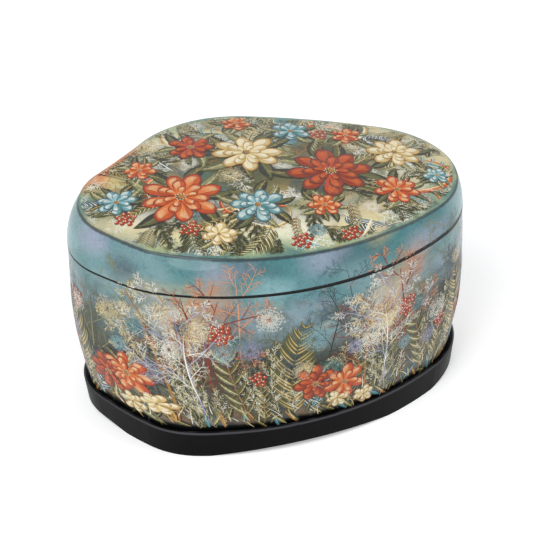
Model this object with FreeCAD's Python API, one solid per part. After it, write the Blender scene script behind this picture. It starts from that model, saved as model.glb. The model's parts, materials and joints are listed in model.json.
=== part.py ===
"""Kidney-shaped lacquer box with a domed lid, a hinge let into its back and a black foot ring.

Every plan outline of the box is four round lobes met by four blend arcs, so every wall,
board and ring is made from the same few circles. Millimetres, +Z up, -Y to the front.
The origin is on the floor under the middle of the box.
"""
import FreeCAD, Part
import math
import os
from FreeCAD import Vector

# Plan of the mouth, where lid and body meet: each lobe is centre x, centre y and radius,
# counter-clockwise from the left end. Blend number n joins lobe n to the next one, and a
# negative blend is the hollow in the back.
MOUTH_LOBES = [(-58.0, -15.0, 37.0), (-40.0, -21.0, 42.5), (47.0, 9.5, 48.0), (-14.5, 7.5, 59.5)]
MOUTH_BLENDS = [165.0, 130.0, 495.0, -190.0]

# Plan of the foot ring at its rim, in the same order
RING_LOBES = [(-59.5, -12.0, 34.5), (-34.0, -23.0, 44.0), (48.5, 11.0, 45.0), (-14.0, 7.0, 59.0)]
RING_BLENDS = [170.0, 150.0, 500.0, -175.0]

# Heights
RING_TOP = 15.0
LIP_HEIGHT = 3.0
BOARD_LIFT = 3.5
FLOOR_THICK = 5.0
MOUTH_Z = 94.5
SEAM_GAP = 0.3
DOME_TOP = 118.5

# Walls
BODY_WALL = 5.0
LID_WALL = 4.5
PANEL = 4.0

# Body profile: how far the foot draws in from the ring's rim, how late it does so on the
# way down, and how far the middle of the wall swells
FOOT_INSET = 3.5
TAPER_POWER = 2.5
BELLY = 1.2

# Heights at which the body's plan is drawn, closer together where the wall turns in
BODY_HEIGHTS = [12.0, 20.0, 30.0, 43.0, 60.0, 77.0, 94.5]

# How far the hollow in the body has drawn in at its foot
HOLLOW_DRAW = 4.5

# Foot ring section
LIP_THICK = 2.0
LIP_EASE = 0.8
RING_THICK = 6.0
RING_TAPER = 1.5

# Arches under the foot ring: direction the arch faces in degrees, half of its span, height
ARCHES = [(-73.0, 46.0, 3.0), (-150.0, 24.0, 2.5), (-18.0, 20.0, 2.5), (85.0, 40.0, 2.5)]

# Collar inside the mouth. Its play in the lid is the body's wall less the lid's.
COLLAR_THICK = 2.2
COLLAR_DEEP = 14.0
COLLAR_PROUD = 5.0

# Lid: radius of the wall's inward curve, the height of its wound band, the heights that the
# cap is turned through, and the dome's two radii and its highest point
LID_CURVE = 38.0
LID_BAND = 8.0
CAP_HEIGHTS = [8.0, 14.0, 20.0, 26.0]
SHOULDER = 16.0
DOME_RADIUS_X = 870.0
DOME_RADIUS_Y = 410.0
DOME_CREST = (-37.0, 5.0)

# Hinge let into the flattest stretch of the back
HINGE_LENGTH = 60.0
KNUCKLES = 3
KNUCKLE_GAP = 0.3
BARREL_R = 1.3
BARREL_PLAY = 0.3
AXIS_INSET = 0.95
PIN_R = 0.6
PIN_PLAY = 0.05
LEAF_THICK = 0.7
LEAF_HEIGHT = 6.0
NAIL_SIDE = 1.1
NAIL_PROUD = 0.1
NAIL_LENGTH = 3.4
NAIL_HEIGHT = 3.9
NAIL_PLACES = [-20.0, 20.0]

# Worked out from the dimensions above
FOOT_Z = RING_TOP - LIP_HEIGHT
COLLAR_Z = MOUTH_Z - COLLAR_DEEP
LID_Z = MOUTH_Z + SEAM_GAP
BACK_BLEND = 2


class ArcPiece:
    """One arc of a plan outline. Side is 1 where the outline bulges and -1 in the hollow."""

    def __init__(self, centre, radius, start, end, side):
        self.centre = centre
        self.radius = radius
        self.start = start
        self.end = end
        self.side = side

    def point(self, angle, z, inset):
        """The point at this angle, moved into the outline by the inset."""
        reach = self.radius - self.side * inset
        x = self.centre.x + reach * math.cos(angle)
        y = self.centre.y + reach * math.sin(angle)
        return Vector(x, y, z)

    def edge(self, z, inset):
        middle = (self.start + self.end) / 2
        ends = [self.point(angle, z, inset) for angle in (self.start, middle, self.end)]
        return Part.Arc(*ends).toShape()


def bearing(origin, target):
    return math.atan2(target.y - origin.y, target.x - origin.x)


def blend_centre(lobe, after, blend):
    """Centre of the circle that touches two lobes, holding them both or lying outside both."""
    reach_a = abs(blend - lobe[2])
    reach_b = abs(blend - after[2])
    a = Vector(lobe[0], lobe[1], 0)
    b = Vector(after[0], after[1], 0)
    gap = a.distanceToPoint(b)
    along = (reach_a ** 2 - reach_b ** 2 + gap ** 2) / (2 * gap)
    across = math.sqrt(reach_a ** 2 - along ** 2) * math.copysign(1, blend)
    forward = (b - a) / gap
    left = Vector(-forward.y, forward.x, 0)
    return a + forward * along + left * across


def outline(lobes, blends):
    """The eight tangent arcs of a plan, counter-clockwise."""
    count = len(lobes)
    centres = [blend_centre(lobes[i], lobes[(i + 1) % count], blends[i]) for i in range(count)]
    pieces = []
    for i in range(count):
        here = Vector(lobes[i][0], lobes[i][1], 0)
        after = Vector(lobes[(i + 1) % count][0], lobes[(i + 1) % count][1], 0)
        before_side = math.copysign(1, blends[i - 1])
        side = math.copysign(1, blends[i])
        start = bearing(centres[i - 1], here) + (math.pi if before_side < 0 else 0)
        end = bearing(centres[i], here) + (math.pi if side < 0 else 0)
        while end < start:
            end += 2 * math.pi
        while end - start > 2 * math.pi:
            end -= 2 * math.pi
        pieces.append(ArcPiece(here, lobes[i][2], start, end, 1))
        start = bearing(centres[i], here)
        end = bearing(centres[i], after)
        while side * (end - start) < 0:
            end += side * 2 * math.pi
        pieces.append(ArcPiece(centres[i], abs(blends[i]), start, end, side))
    return pieces


MOUTH = outline(MOUTH_LOBES, MOUTH_BLENDS)
RING = outline(RING_LOBES, RING_BLENDS)


def wire(pieces, z, inset):
    return Part.Wire([piece.edge(z, inset) for piece in pieces])


def prism(pieces, inset, low, high):
    """A straight-sided solid of the outline between two heights."""
    return Part.Face(wire(pieces, low, inset)).extrude(Vector(0, 0, high - low))


def place_section(face, piece):
    """Carry a section, drawn with X as inset and Y as height, to the start of an arc."""
    out = Vector(math.cos(piece.start), math.sin(piece.start), 0) * piece.side
    foot = piece.point(piece.start, 0, 0)
    side = out.cross(Vector(0, 0, 1))
    frame = FreeCAD.Matrix(-out.x, 0, side.x, foot.x, -out.y, 0, side.y, foot.y, 0, 1, 0, 0)
    return face.transformed(frame)


def ring(pieces, edges):
    """A ring of one section, turned about the centre of every arc of a plan outline."""
    turned = []
    for piece in pieces:
        face = place_section(Part.Face(Part.Wire(edges)), piece)
        sweep = math.degrees(piece.end - piece.start)
        turned.append(face.revolve(piece.centre, Vector(0, 0, 1), sweep))
    return turned[0].fuse(turned[1:]).removeSplitter()


def chain(points):
    """Straight edges through points given as inset and height."""
    corners = [Vector(inset, height, 0) for inset, height in points]
    return [Part.makeLine(a, b) for a, b in zip(corners, corners[1:])]


def closed(points):
    return chain(points + points[:1])


def steps(low, high, count):
    return [low + (high - low) * i / count for i in range(count + 1)]


def slab(low, high):
    """A block wider than the box between two heights."""
    return Part.makeBox(400, 400, high - low, Vector(-200, -200, low))


def mixed(mouth_value, ring_value, share):
    return mouth_value * (1 - share) + ring_value * share


def body_section(z):
    """Plan of the body at a height: the mouth's lobes drawn towards the ring's on the way down."""
    fall = (MOUTH_Z - z) / (MOUTH_Z - FOOT_Z)
    share = fall ** TAPER_POWER
    lobes = []
    for mouth, ring in zip(MOUTH_LOBES, RING_LOBES):
        lobes.append([mixed(m, r, share) for m, r in zip(mouth, ring)])
    blends = [mixed(m, r, share) for m, r in zip(MOUTH_BLENDS, RING_BLENDS)]
    swell = BELLY * math.sin(math.pi * fall) ** 2
    return wire(outline(lobes, blends), z, FOOT_INSET * share - swell)


# Hinge frame: the middle of the back's flattest arc, with local X along the axis, local Y
# straight out of the back and local Z up
back_arc = MOUTH[2 * BACK_BLEND + 1]
back_angle = (back_arc.start + back_arc.end) / 2
hinge_point = back_arc.point(back_angle, (MOUTH_Z + LID_Z) / 2, AXIS_INSET)
hinge_turn = FreeCAD.Rotation(Vector(0, 0, 1), math.degrees(back_angle) - 90)
HINGE_PLACE = FreeCAD.Placement(hinge_point, hinge_turn)


def at_hinge(shape):
    placed = shape.copy()
    placed.Placement = HINGE_PLACE.multiply(placed.Placement)
    return placed


def rod(radius, start, end):
    """A rod along the hinge axis, in the hinge's own frame."""
    return Part.makeCylinder(radius, end - start, Vector(start, 0, 0), Vector(1, 0, 0))


def knuckle_spans(first):
    """Start and end of every second knuckle, counted from the first one given."""
    length = (HINGE_LENGTH - (KNUCKLES - 1) * KNUCKLE_GAP) / KNUCKLES
    spans = []
    for i in range(first, KNUCKLES, 2):
        start = -HINGE_LENGTH / 2 + i * (length + KNUCKLE_GAP)
        spans.append((start, start + length))
    return spans


def leaf(up, bore_r):
    """One hinge leaf: a plate that meets the barrel's inner side, with its knuckles."""
    own, others = (knuckle_spans(1), knuckle_spans(0)) if up else (knuckle_spans(0), knuckle_spans(1))
    foot = 0 if up else -LEAF_HEIGHT
    corner = Vector(-HINGE_LENGTH / 2, -BARREL_R, foot)
    plate = Part.makeBox(HINGE_LENGTH, LEAF_THICK, LEAF_HEIGHT, corner)
    solid = plate.fuse([rod(BARREL_R, *span) for span in own])
    for start, end in others:
        solid = solid.cut(rod(BARREL_R + BARREL_PLAY, start - KNUCKLE_GAP, end + KNUCKLE_GAP))
    solid = solid.cut(rod(bore_r, -HINGE_LENGTH / 2, HINGE_LENGTH / 2))
    return at_hinge(solid.removeSplitter())


def wall_face(along, rise):
    """Local Y of the box's outer face at a place along the hinge and a height from its axis."""
    bow = along ** 2 / (2 * back_arc.radius)
    lean = rise ** 2 / (2 * LID_CURVE) if rise > 0 else 0
    return AXIS_INSET - bow - lean


def nail(along, rise):
    """A square headless brad driven in from the back until it is nearly flush."""
    brad = Part.makeBox(NAIL_SIDE, NAIL_LENGTH, NAIL_SIDE)
    tip = wall_face(along, rise) + NAIL_PROUD - NAIL_LENGTH
    brad.translate(Vector(along - NAIL_SIDE / 2, tip, rise - NAIL_SIDE / 2))
    return at_hinge(brad)


nail_row_body = [nail(along, -NAIL_HEIGHT) for along in NAIL_PLACES]
nail_row_lid = [nail(along, NAIL_HEIGHT) for along in NAIL_PLACES]
hinge_leaf_body = leaf(False, PIN_R).cut(nail_row_body)
hinge_leaf_lid = leaf(True, PIN_R + PIN_PLAY).cut(nail_row_lid)
hinge_pin = at_hinge(rod(PIN_R, -HINGE_LENGTH / 2, HINGE_LENGTH / 2))
barrel_groove = at_hinge(rod(BARREL_R + BARREL_PLAY, -HINGE_LENGTH / 2 - BARREL_PLAY,
                             HINGE_LENGTH / 2 + BARREL_PLAY))


def filled_ring(points, low, high):
    """The same outer section turned about every arc, with the middle filled in."""
    core = [(SHOULDER, high), (SHOULDER, low)]
    return ring(MOUTH, closed(points + core)).fuse(prism(MOUTH, SHOULDER, low, high)).removeSplitter()


body_hollow = filled_ring([(BODY_WALL + HOLLOW_DRAW, FOOT_Z), (BODY_WALL, COLLAR_Z)], FOOT_Z, COLLAR_Z)


def make_body_wall():
    """The wound wall, open at both ends, upright behind the collar and cut for the hinge."""
    form = Part.makeLoft([body_section(z) for z in BODY_HEIGHTS], True, True)
    mouth = prism(MOUTH, BODY_WALL, COLLAR_Z, MOUTH_Z)
    wall = form.cut([body_hollow, mouth])
    return wall.cut([barrel_groove, hinge_leaf_body] + nail_row_body)


def make_body_floor():
    return body_hollow.common(slab(FOOT_Z, FOOT_Z + FLOOR_THICK))


def make_body_collar():
    """Thin ring glued in the mouth. Its upper part stands proud and guides the lid."""
    top = MOUTH_Z + COLLAR_PROUD
    inner = BODY_WALL + COLLAR_THICK
    return ring(MOUTH, closed([(BODY_WALL, COLLAR_Z), (BODY_WALL, top), (inner, top), (inner, COLLAR_Z)]))


def arch_cutter(facing, half_span, height):
    """A wide cylinder lying through one side of the ring, whose top makes a shallow arch."""
    radius = (half_span ** 2 + height ** 2) / (2 * height)
    turn = math.radians(facing)
    out = Vector(math.cos(turn), math.sin(turn), 0)
    crest = max(wire(RING, 0, 0).discretize(400), key=out.dot)
    return Part.makeCylinder(radius, 40, crest - out * 30 + Vector(0, 0, height - radius), out)


def make_plinth_skirt():
    """Black foot ring: a tapering wall with an eased, raised lip, lifted by shallow arches."""
    ease = LIP_EASE
    skirt = ring(RING, closed([(RING_TAPER, 0), (0, RING_TOP - ease), (ease, RING_TOP),
                               (LIP_THICK, RING_TOP), (LIP_THICK, FOOT_Z), (RING_THICK, FOOT_Z), (RING_THICK, 0)]))
    return skirt.cut([arch_cutter(*arch) for arch in ARCHES])


def make_plinth_board():
    return prism(RING, RING_THICK, BOARD_LIFT, FOOT_Z)


def dome_form(drop, count):
    """Everything under the lid's dome, lowered evenly by the drop: arches across the lid, each
    as high as the long arc from end to end passes over it."""
    radius_x = DOME_RADIUS_X - drop
    radius_y = DOME_RADIUS_Y - drop
    crest_x, crest_y = DOME_CREST
    reach_y = 90
    sag_y = radius_y - math.sqrt(radius_y ** 2 - reach_y ** 2)
    arches = []
    for x in steps(-100, 100, count):
        along = x - crest_x
        crown = DOME_TOP - drop - radius_x + math.sqrt(radius_x ** 2 - along ** 2)
        front = Vector(x, crest_y - reach_y, crown - sag_y)
        back = Vector(x, crest_y + reach_y, crown - sag_y)
        arc = Part.Arc(front, Vector(x, crest_y, crown), back).toShape()
        low_back = Vector(x, back.y, MOUTH_Z)
        low_front = Vector(x, front.y, MOUTH_Z)
        sides = [Part.makeLine(back, low_back), Part.makeLine(low_back, low_front),
                 Part.makeLine(low_front, front)]
        arches.append(Part.Wire([arc] + sides))
    return Part.makeLoft(arches, True, drop > 0)


def lid_inset(height):
    """How far the lid's wall has curved in at a height above its rim."""
    return LID_CURVE - math.sqrt(LID_CURVE ** 2 - height ** 2)


def curved_wall(heights):
    """Points up the outside of the lid's wall, as inset and height."""
    return [(lid_inset(h), LID_Z + h) for h in heights]


def make_lid_wall():
    """The lid's wound band: upright inside, where the collar guides it, and curving outside."""
    outside = curved_wall([0, LID_BAND / 2, LID_BAND])
    band = ring(MOUTH, closed(outside + [(LID_WALL, LID_Z + LID_BAND), (LID_WALL, LID_Z)]))
    return band.cut([barrel_groove, hinge_leaf_lid] + nail_row_lid)


def make_lid_top():
    """The pressed cap: it carries on the curve of the band up to the crease and domes over."""
    low = LID_Z + LID_BAND
    high = LID_Z + CAP_HEIGHTS[-1]
    form = filled_ring(curved_wall(CAP_HEIGHTS), low, high)
    inner_top = (lid_inset(CAP_HEIGHTS[-1]) + LID_WALL, high)
    hollow = filled_ring([(LID_WALL, low), inner_top], low, high)
    return form.common(dome_form(0, 4)).cut(hollow.common(dome_form(PANEL, 4)))


def save(name, shape):
    shape.exportStep("parts/" + name + ".step")
    print(name, "valid" if shape.isValid() else "NOT VALID", "solids", len(shape.Solids),
          "volume %.0f" % shape.Volume, "z %.2f to %.2f" % (shape.BoundBox.ZMin, shape.BoundBox.ZMax))


os.makedirs("parts", exist_ok=True)
save("plinth_skirt", make_plinth_skirt())
save("plinth_board", make_plinth_board())
save("body_wall", make_body_wall())
save("body_floor", make_body_floor())
save("body_collar", make_body_collar())
save("lid_wall", make_lid_wall())
save("lid_top", make_lid_top())
save("hinge_leaf_body", hinge_leaf_body)
save("hinge_leaf_lid", hinge_leaf_lid)
save("hinge_pin", hinge_pin)
save("leaf_nails_body", Part.Compound(nail_row_body))
save("leaf_nails_lid", Part.Compound(nail_row_lid))
print("hinge at %.4f %.4f %.4f" % tuple(hinge_point), "axis", hinge_turn.multVec(Vector(1, 0, 0)))
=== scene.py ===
"""Dresses the lacquer box: painted grounds, brushwork, lacquers, brass and a plain studio."""

import json
import math

import bpy
import numpy as np
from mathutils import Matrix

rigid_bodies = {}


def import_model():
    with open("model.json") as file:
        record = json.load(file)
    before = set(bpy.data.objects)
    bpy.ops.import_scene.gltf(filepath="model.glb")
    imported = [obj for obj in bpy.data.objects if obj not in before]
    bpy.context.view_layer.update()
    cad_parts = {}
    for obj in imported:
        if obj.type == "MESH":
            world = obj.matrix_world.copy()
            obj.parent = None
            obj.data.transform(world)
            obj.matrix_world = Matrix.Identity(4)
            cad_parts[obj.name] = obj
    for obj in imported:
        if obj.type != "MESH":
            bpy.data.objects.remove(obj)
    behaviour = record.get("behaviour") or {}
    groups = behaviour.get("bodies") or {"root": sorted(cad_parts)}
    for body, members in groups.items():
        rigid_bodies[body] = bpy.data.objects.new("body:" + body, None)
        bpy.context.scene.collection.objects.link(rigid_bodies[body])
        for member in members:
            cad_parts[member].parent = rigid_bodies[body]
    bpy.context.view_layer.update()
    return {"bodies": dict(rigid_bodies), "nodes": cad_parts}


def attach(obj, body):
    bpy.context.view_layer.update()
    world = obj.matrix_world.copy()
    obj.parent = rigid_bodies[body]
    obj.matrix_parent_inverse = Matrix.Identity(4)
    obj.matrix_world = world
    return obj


bl_info = {
    "name": "Painted lacquer box",
    "version": (1, 0, 0),
    "blender": (4, 5, 0),
    "location": "3D View > Sidebar > Lacquer box",
    "description": "Paints and lacquers a kidney-shaped papier-mache box",
    "category": "Object",
}

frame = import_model()

MM = 0.001

# Plan of the box at its mouth and at its foot ring, in millimetres: lobes as x, y, radius and
# the blends between them, negative where the outline turns hollow
MOUTH_LOBES = [(-58.0, -15.0, 37.0), (-40.0, -21.0, 42.5), (47.0, 9.5, 48.0), (-14.5, 7.5, 59.5)]
MOUTH_BLENDS = [165.0, 130.0, 495.0, -190.0]
RING_LOBES = [(-59.5, -12.0, 34.5), (-34.0, -23.0, 44.0), (48.5, 11.0, 45.0), (-14.0, 7.0, 59.0)]
RING_BLENDS = [170.0, 150.0, 500.0, -175.0]

# Heights in millimetres, and half the box's length
FOOT_Z = 12.0
LIP_Z = 15.0
MOUTH_Z = 94.5
LID_Z = 94.8
DOME_TOP = 118.5
HALF_LENGTH = 95.0

# The body's walls draw in towards the foot and swell a little in the middle
FOOT_INSET = 3.5
TAPER_POWER = 2.5
BELLY = 1.2

# The lid's wall curves in with this radius under a dome of two long arcs
LID_CURVE = 38.0
WALL_REACH = 21.0
DOME_RADIUS_X = 870.0
DOME_RADIUS_Y = 410.0
DOME_CREST = (-37.0, 5.0)

# Groove that the hinge's barrel lies in, on the long flat arc of the back
BACK_BLEND = 2
GROOVE_HALF = 30.6
GROOVE_RADIUS = 1.62
AXIS_INSET = 0.95

# Middle of the dome as the painter sees it, its distance from the crease, and the rounding of
# the crease
DOME_HUB = (2.0, 3.0)
HUB_DISTANCE = 60.0
CREASE_ROUND = 0.6

# The ground lies this far outside the walls, and the rims' lines and the first strokes this far
# outside the ground
GROUND_LIFT = 0.14
RIM_LIFT = 0.03
STROKE_LIFT = 0.04

# Each layer of brushwork lies a little above the last, and strokes of one layer that may cross
# are kept apart by less
LAYER_LIFT = 0.024
TIE_LIFT = 0.003

# Bare margins that the ground keeps at the foot, and the brush at the foot, the seam, the
# hinge's groove and the crease
FOOT_GAP = 0.05
FOOT_CLEAR = 1.5
SEAM_CLEAR = 0.28
GROOVE_CLEAR = 0.25
WALL_TOP_CLEAR = 0.9
DOME_EDGE_CLEAR = 1.6

# How finely the walls are sampled: stations round the mouth, of which the grounds use every
# second one, and rows of points up the walls and in over the dome
STATIONS = 1040
EVERY = 2
BODY_ROWS = 68
LID_ROWS = 16
DOME_RINGS = 56

# The lid's rim line ends this many of the grounds' stations beside the hinge's groove, because
# it would meet the body's line there when the lid is open
RIM_LINE_STOP = 12

# The photograph's width and the lens that was fitted to it, both in pixels, the camera's
# sensor and the spot that it looks at, both in millimetres
IMAGE_WIDTH = 540
FOCAL_PIXELS = 1932.28
SENSOR = 36.0
CAMERA_TARGET = (0.71, 0.0, 62.45)

# Straight up on a painted face
UP = math.pi / 2

# The turn from one spot to the next that fills a disc evenly
EVEN_TURN = 2.4

# The clear lacquer over the painting, and the lacquer inside the box
OUTER_COAT = {"Specular_IOR_Level": 0.15, "Coat_Weight": 0.5, "Coat_Roughness": 0.07}
INNER_COAT = {"Coat_Weight": 0.6, "Coat_Roughness": 0.1}


def pigment(red, green, blue):
    """A paint, as the linear colour that a shader takes."""
    linear = []
    for level in (red, green, blue):
        share = level / 255
        linear.append(share / 12.92 if share <= 0.04045 else ((share + 0.055) / 1.055) ** 2.4)
    return (*linear, 1.0)


PAINTS = {
    "frost": pigment(238, 236, 222),
    "cream": pigment(230, 212, 164),
    "straw": pigment(196, 168, 104),
    "teal": pigment(72, 128, 130),
    "sky": pigment(140, 178, 184),
    "slate": pigment(66, 84, 94),
    "lilac": pigment(156, 158, 182),
    "moss": pigment(84, 84, 44),
    "fir": pigment(34, 36, 20),
    "sage": pigment(130, 130, 88),
    "bark": pigment(74, 44, 26),
    "rust": pigment(128, 38, 14),
    "ember": pigment(178, 66, 22),
    "apricot": pigment(212, 112, 44),
    "peach": pigment(216, 148, 104),
    "ochre": pigment(158, 110, 48),
    "ink": pigment(14, 16, 18),
}


class Channel:
    """One shader socket that sums and products can be written with."""

    def __init__(self, finish, socket):
        self.finish = finish
        self.socket = socket

    def maths(self, operation, *values):
        """One operation of the maths node on channels and numbers."""
        sockets = dict(enumerate(values))
        return self.finish.node("ShaderNodeMath", {"operation": operation}, sockets)

    def __add__(self, other):
        return self.maths("ADD", self, other)

    def __radd__(self, other):
        return self.maths("ADD", other, self)

    def __sub__(self, other):
        return self.maths("SUBTRACT", self, other)

    def __rsub__(self, other):
        return self.maths("SUBTRACT", other, self)

    def __mul__(self, other):
        return self.maths("MULTIPLY", self, other)

    def __rmul__(self, other):
        return self.maths("MULTIPLY", other, self)

    def clamp(self):
        """The channel held between 0 and 1."""
        clamped = self.maths("ADD", self, 0.0)
        clamped.socket.node.use_clamp = True
        return clamped

    def between(self, low, high):
        """0 below low, 1 above high and a smooth rise between."""
        settings = {"interpolation_type": "SMOOTHSTEP"}
        sockets = {"Value": self, "From Min": low, "From Max": high}
        return self.finish.node("ShaderNodeMapRange", settings, sockets)


class Finish:
    """A material or a world under construction, with one method that makes its nodes."""

    def __init__(self, name, kept_in=None):
        kept_in = bpy.data.materials if kept_in is None else kept_in
        self.material = kept_in.new(name)
        self.material.use_nodes = True
        self.tree = self.material.node_tree
        self.tree.nodes.clear()

    def node(self, kind, settings=None, sockets=None, out=0):
        """A node with its settings and its sockets' values or links, as one of its outputs."""
        node = self.tree.nodes.new(kind)
        for key, value in (settings or {}).items():
            if key == "stops":
                self.set_stops(node.color_ramp, value)
            else:
                setattr(node, key, value)
        for key, value in (sockets or {}).items():
            socket = node.inputs[key]
            if isinstance(value, Channel):
                self.tree.links.new(value.socket, socket)
            else:
                socket.default_value = value
        return Channel(self, node.outputs[out])

    def set_stops(self, ramp, stops):
        """Fills a colour ramp with stops, each as position and colour."""
        while len(ramp.elements) < len(stops):
            ramp.elements.new(1.0)
        for element, (position, colour) in zip(ramp.elements, stops):
            element.position = position
            element.color = colour

    def place(self, axis=None):
        """The object's own coordinates in metres, or one of their axes."""
        spot = self.node("ShaderNodeTexCoord", out=3)
        if axis is None:
            return spot
        return self.node("ShaderNodeSeparateXYZ", sockets={0: spot}, out=axis)

    def reading(self, name, out=2):
        """What the mesh carries at its points: a colour, out 0, number, out 2, or cover, out 3."""
        return self.node("ShaderNodeAttribute", {"attribute_name": name}, out=out)

    def noise(self, size, detail=3.0, roughness=0.55, warp=0.0, shift=(0, 0, 0), stretch=(1, 1, 1)):
        """Cloudy noise whose patches are about this many millimetres wide."""
        sockets = {"Vector": self.place(), "Location": shift, "Scale": stretch}
        spot = self.node("ShaderNodeMapping", sockets=sockets)
        sockets = {"Vector": spot, "Scale": 1 / (size * MM), "Detail": detail,
                   "Roughness": roughness, "Distortion": warp}
        return self.node("ShaderNodeTexNoise", sockets=sockets)

    def ramp(self, value, stops):
        """A colour read from stops that run smoothly into one another."""
        node = self.node("ShaderNodeValToRGB", {"stops": stops}, {0: value})
        node.socket.node.color_ramp.interpolation = "EASE"
        return node

    def mix(self, share, first, second, how="MIX"):
        """Two colours mixed by a share."""
        settings = {"data_type": "RGBA", "blend_type": how}
        return self.node("ShaderNodeMix", settings, {0: share, 6: first, 7: second}, out=2)

    def bump(self, height, depth, strength=1.0):
        """A normal from a height between 0 and 1 that stands for this many millimetres."""
        sockets = {"Strength": strength, "Distance": depth * MM, "Height": height}
        return self.node("ShaderNodeBump", sockets=sockets)

    def close(self, **sockets):
        """Ends the material in one glossy shader with these sockets."""
        named = {key.replace("_", " "): value for key, value in sockets.items()}
        return self.surface(self.node("ShaderNodeBsdfPrincipled", sockets=named))

    def shown(self):
        """1 for rays from the camera, also for those that a surface mirrors or lets through."""
        rays = ("Is Camera Ray", "Is Glossy Ray", "Is Transmission Ray")
        seen, mirrored, let_through = (self.node("ShaderNodeLightPath", out=ray) for ray in rays)
        return (seen + mirrored + let_through).clamp()

    def surface(self, shader, kind="ShaderNodeOutputMaterial"):
        """Ends the material or the world in a shader."""
        output = self.tree.nodes.new(kind)
        self.tree.links.new(shader.socket, output.inputs["Surface"])
        return self.material


def bearing(origin, target):
    """Direction from one point of the plan to another."""
    return math.atan2(target[1] - origin[1], target[0] - origin[0])


def blend_centre(lobe, after, blend):
    """Centre of the circle that touches two lobes, holding them both or lying outside both."""
    reach_a = abs(blend - lobe[2])
    reach_b = abs(blend - after[2])
    gap = math.dist(lobe[:2], after[:2])
    along = (reach_a ** 2 - reach_b ** 2 + gap ** 2) / (2 * gap)
    across = math.sqrt(reach_a ** 2 - along ** 2) * math.copysign(1, blend)
    forward = ((after[0] - lobe[0]) / gap, (after[1] - lobe[1]) / gap)
    x = lobe[0] + forward[0] * along - forward[1] * across
    y = lobe[1] + forward[1] * along + forward[0] * across
    return x, y


def outline(lobes, blends):
    """The eight tangent arcs of a plan, counter-clockwise, as centre, radius, start, end, side."""
    count = len(lobes)
    centres = [blend_centre(lobes[i], lobes[(i + 1) % count], blends[i]) for i in range(count)]
    arcs = []
    for i in range(count):
        here = lobes[i]
        after = lobes[(i + 1) % count]
        before_side = math.copysign(1, blends[i - 1])
        side = math.copysign(1, blends[i])
        start = bearing(centres[i - 1], here) + (math.pi if before_side < 0 else 0)
        end = bearing(centres[i], here) + (math.pi if side < 0 else 0)
        while end < start:
            end += 2 * math.pi
        while end - start > 2 * math.pi:
            end -= 2 * math.pi
        arcs.append((here[:2], here[2], start, end, 1))
        start = bearing(centres[i], here)
        end = bearing(centres[i], after)
        while side * (end - start) < 0:
            end += side * 2 * math.pi
        arcs.append((centres[i], abs(blends[i]), start, end, side))
    return arcs


MOUTH = outline(MOUTH_LOBES, MOUTH_BLENDS)


def stations(count):
    """Evenly spaced places round the mouth, as arc numbers, shares of the arc and distances."""
    lengths = [radius * abs(end - start) for _, radius, start, end, _ in MOUTH]
    starts = np.concatenate([[0], np.cumsum(lengths)])
    distance = np.arange(count) * starts[-1] / count
    arc = np.searchsorted(starts, distance, side="right") - 1
    share = (distance - starts[arc]) / np.array(lengths)[arc]
    return arc, share, distance, starts[-1]


ARC, SHARE, DISTANCE, PERIMETER = stations(STATIONS)


def plan(arcs, inset):
    """The plan's points at all stations, moved inwards by the inset."""
    centre, radius, start, end, side = (np.array(part)[ARC] for part in zip(*arcs))
    angle = start + (end - start) * SHARE
    ray = np.stack([np.cos(angle), np.sin(angle)], axis=1)
    return centre + ray * (radius - side * inset)[:, None]


def body_plan(z):
    """The body's plan at a height, with the ground's thickness outside it."""
    fall = (MOUTH_Z - z) / (MOUTH_Z - FOOT_Z)
    share = max(fall, 0) ** TAPER_POWER
    lobes = [[m * (1 - share) + r * share for m, r in zip(mouth, ring)]
             for mouth, ring in zip(MOUTH_LOBES, RING_LOBES)]
    blends = [m * (1 - share) + r * share for m, r in zip(MOUTH_BLENDS, RING_BLENDS)]
    inset = FOOT_INSET * share - BELLY * math.sin(math.pi * fall) ** 2
    return plan(outline(lobes, blends), inset - GROUND_LIFT)


def lid_plan(z):
    """The lid wall's plan at a height, with the ground's thickness outside it."""
    rise = z - LID_Z
    inset = LID_CURVE - math.sqrt(LID_CURVE ** 2 - rise ** 2)
    return plan(MOUTH, inset - GROUND_LIFT)


def dome(x, y):
    """Height of the lid's dome, with the ground's thickness on it."""
    drop_x = DOME_RADIUS_X - np.sqrt(DOME_RADIUS_X ** 2 - (x - DOME_CREST[0]) ** 2)
    drop_y = DOME_RADIUS_Y - np.sqrt(DOME_RADIUS_Y ** 2 - (y - DOME_CREST[1]) ** 2)
    return DOME_TOP - drop_x - drop_y + GROUND_LIFT


class Wall:
    """A painted wall: rows of plan points that a place round it and a height are read from."""

    def __init__(self, plan_at, low, high, rows):
        self.low = low
        self.step = (high - low) / (rows - 1)
        heights = np.linspace(low, high, rows)
        plans = [np.column_stack([plan_at(z), np.full(STATIONS, z)]) for z in heights]
        self.points = np.array(plans)
        round_it = np.roll(self.points, -1, axis=1) - np.roll(self.points, 1, axis=1)
        up_it = np.gradient(self.points, axis=0)
        out = np.cross(round_it, up_it)
        self.out = out / np.linalg.norm(out, axis=2, keepdims=True)

    def read(self, table, distance, z):
        """Values of a table of the wall at distances round it and heights, evened between rows."""
        column = (distance / PERIMETER * STATIONS) % STATIONS
        left = np.floor(column).astype(int) % STATIONS
        right = (left + 1) % STATIONS
        row = np.clip((z - self.low) / self.step, 0, len(table) - 1.000001)
        below = np.floor(row).astype(int)
        u = (column - np.floor(column))[:, None]
        v = np.reshape(row - below, (-1, 1))
        lower = table[below, left] * (1 - u) + table[below, right] * u
        upper = table[below + 1, left] * (1 - u) + table[below + 1, right] * u
        return lower * (1 - v) + upper * v

    def place(self, distance, z, lift=0.0):
        """Points on the wall, or lifted off it, with their outward directions."""
        out = self.read(self.out, distance, z)
        out /= np.linalg.norm(out, axis=1, keepdims=True)
        return self.read(self.points, distance, z) + out * np.reshape(lift, (-1, 1)), out


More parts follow.
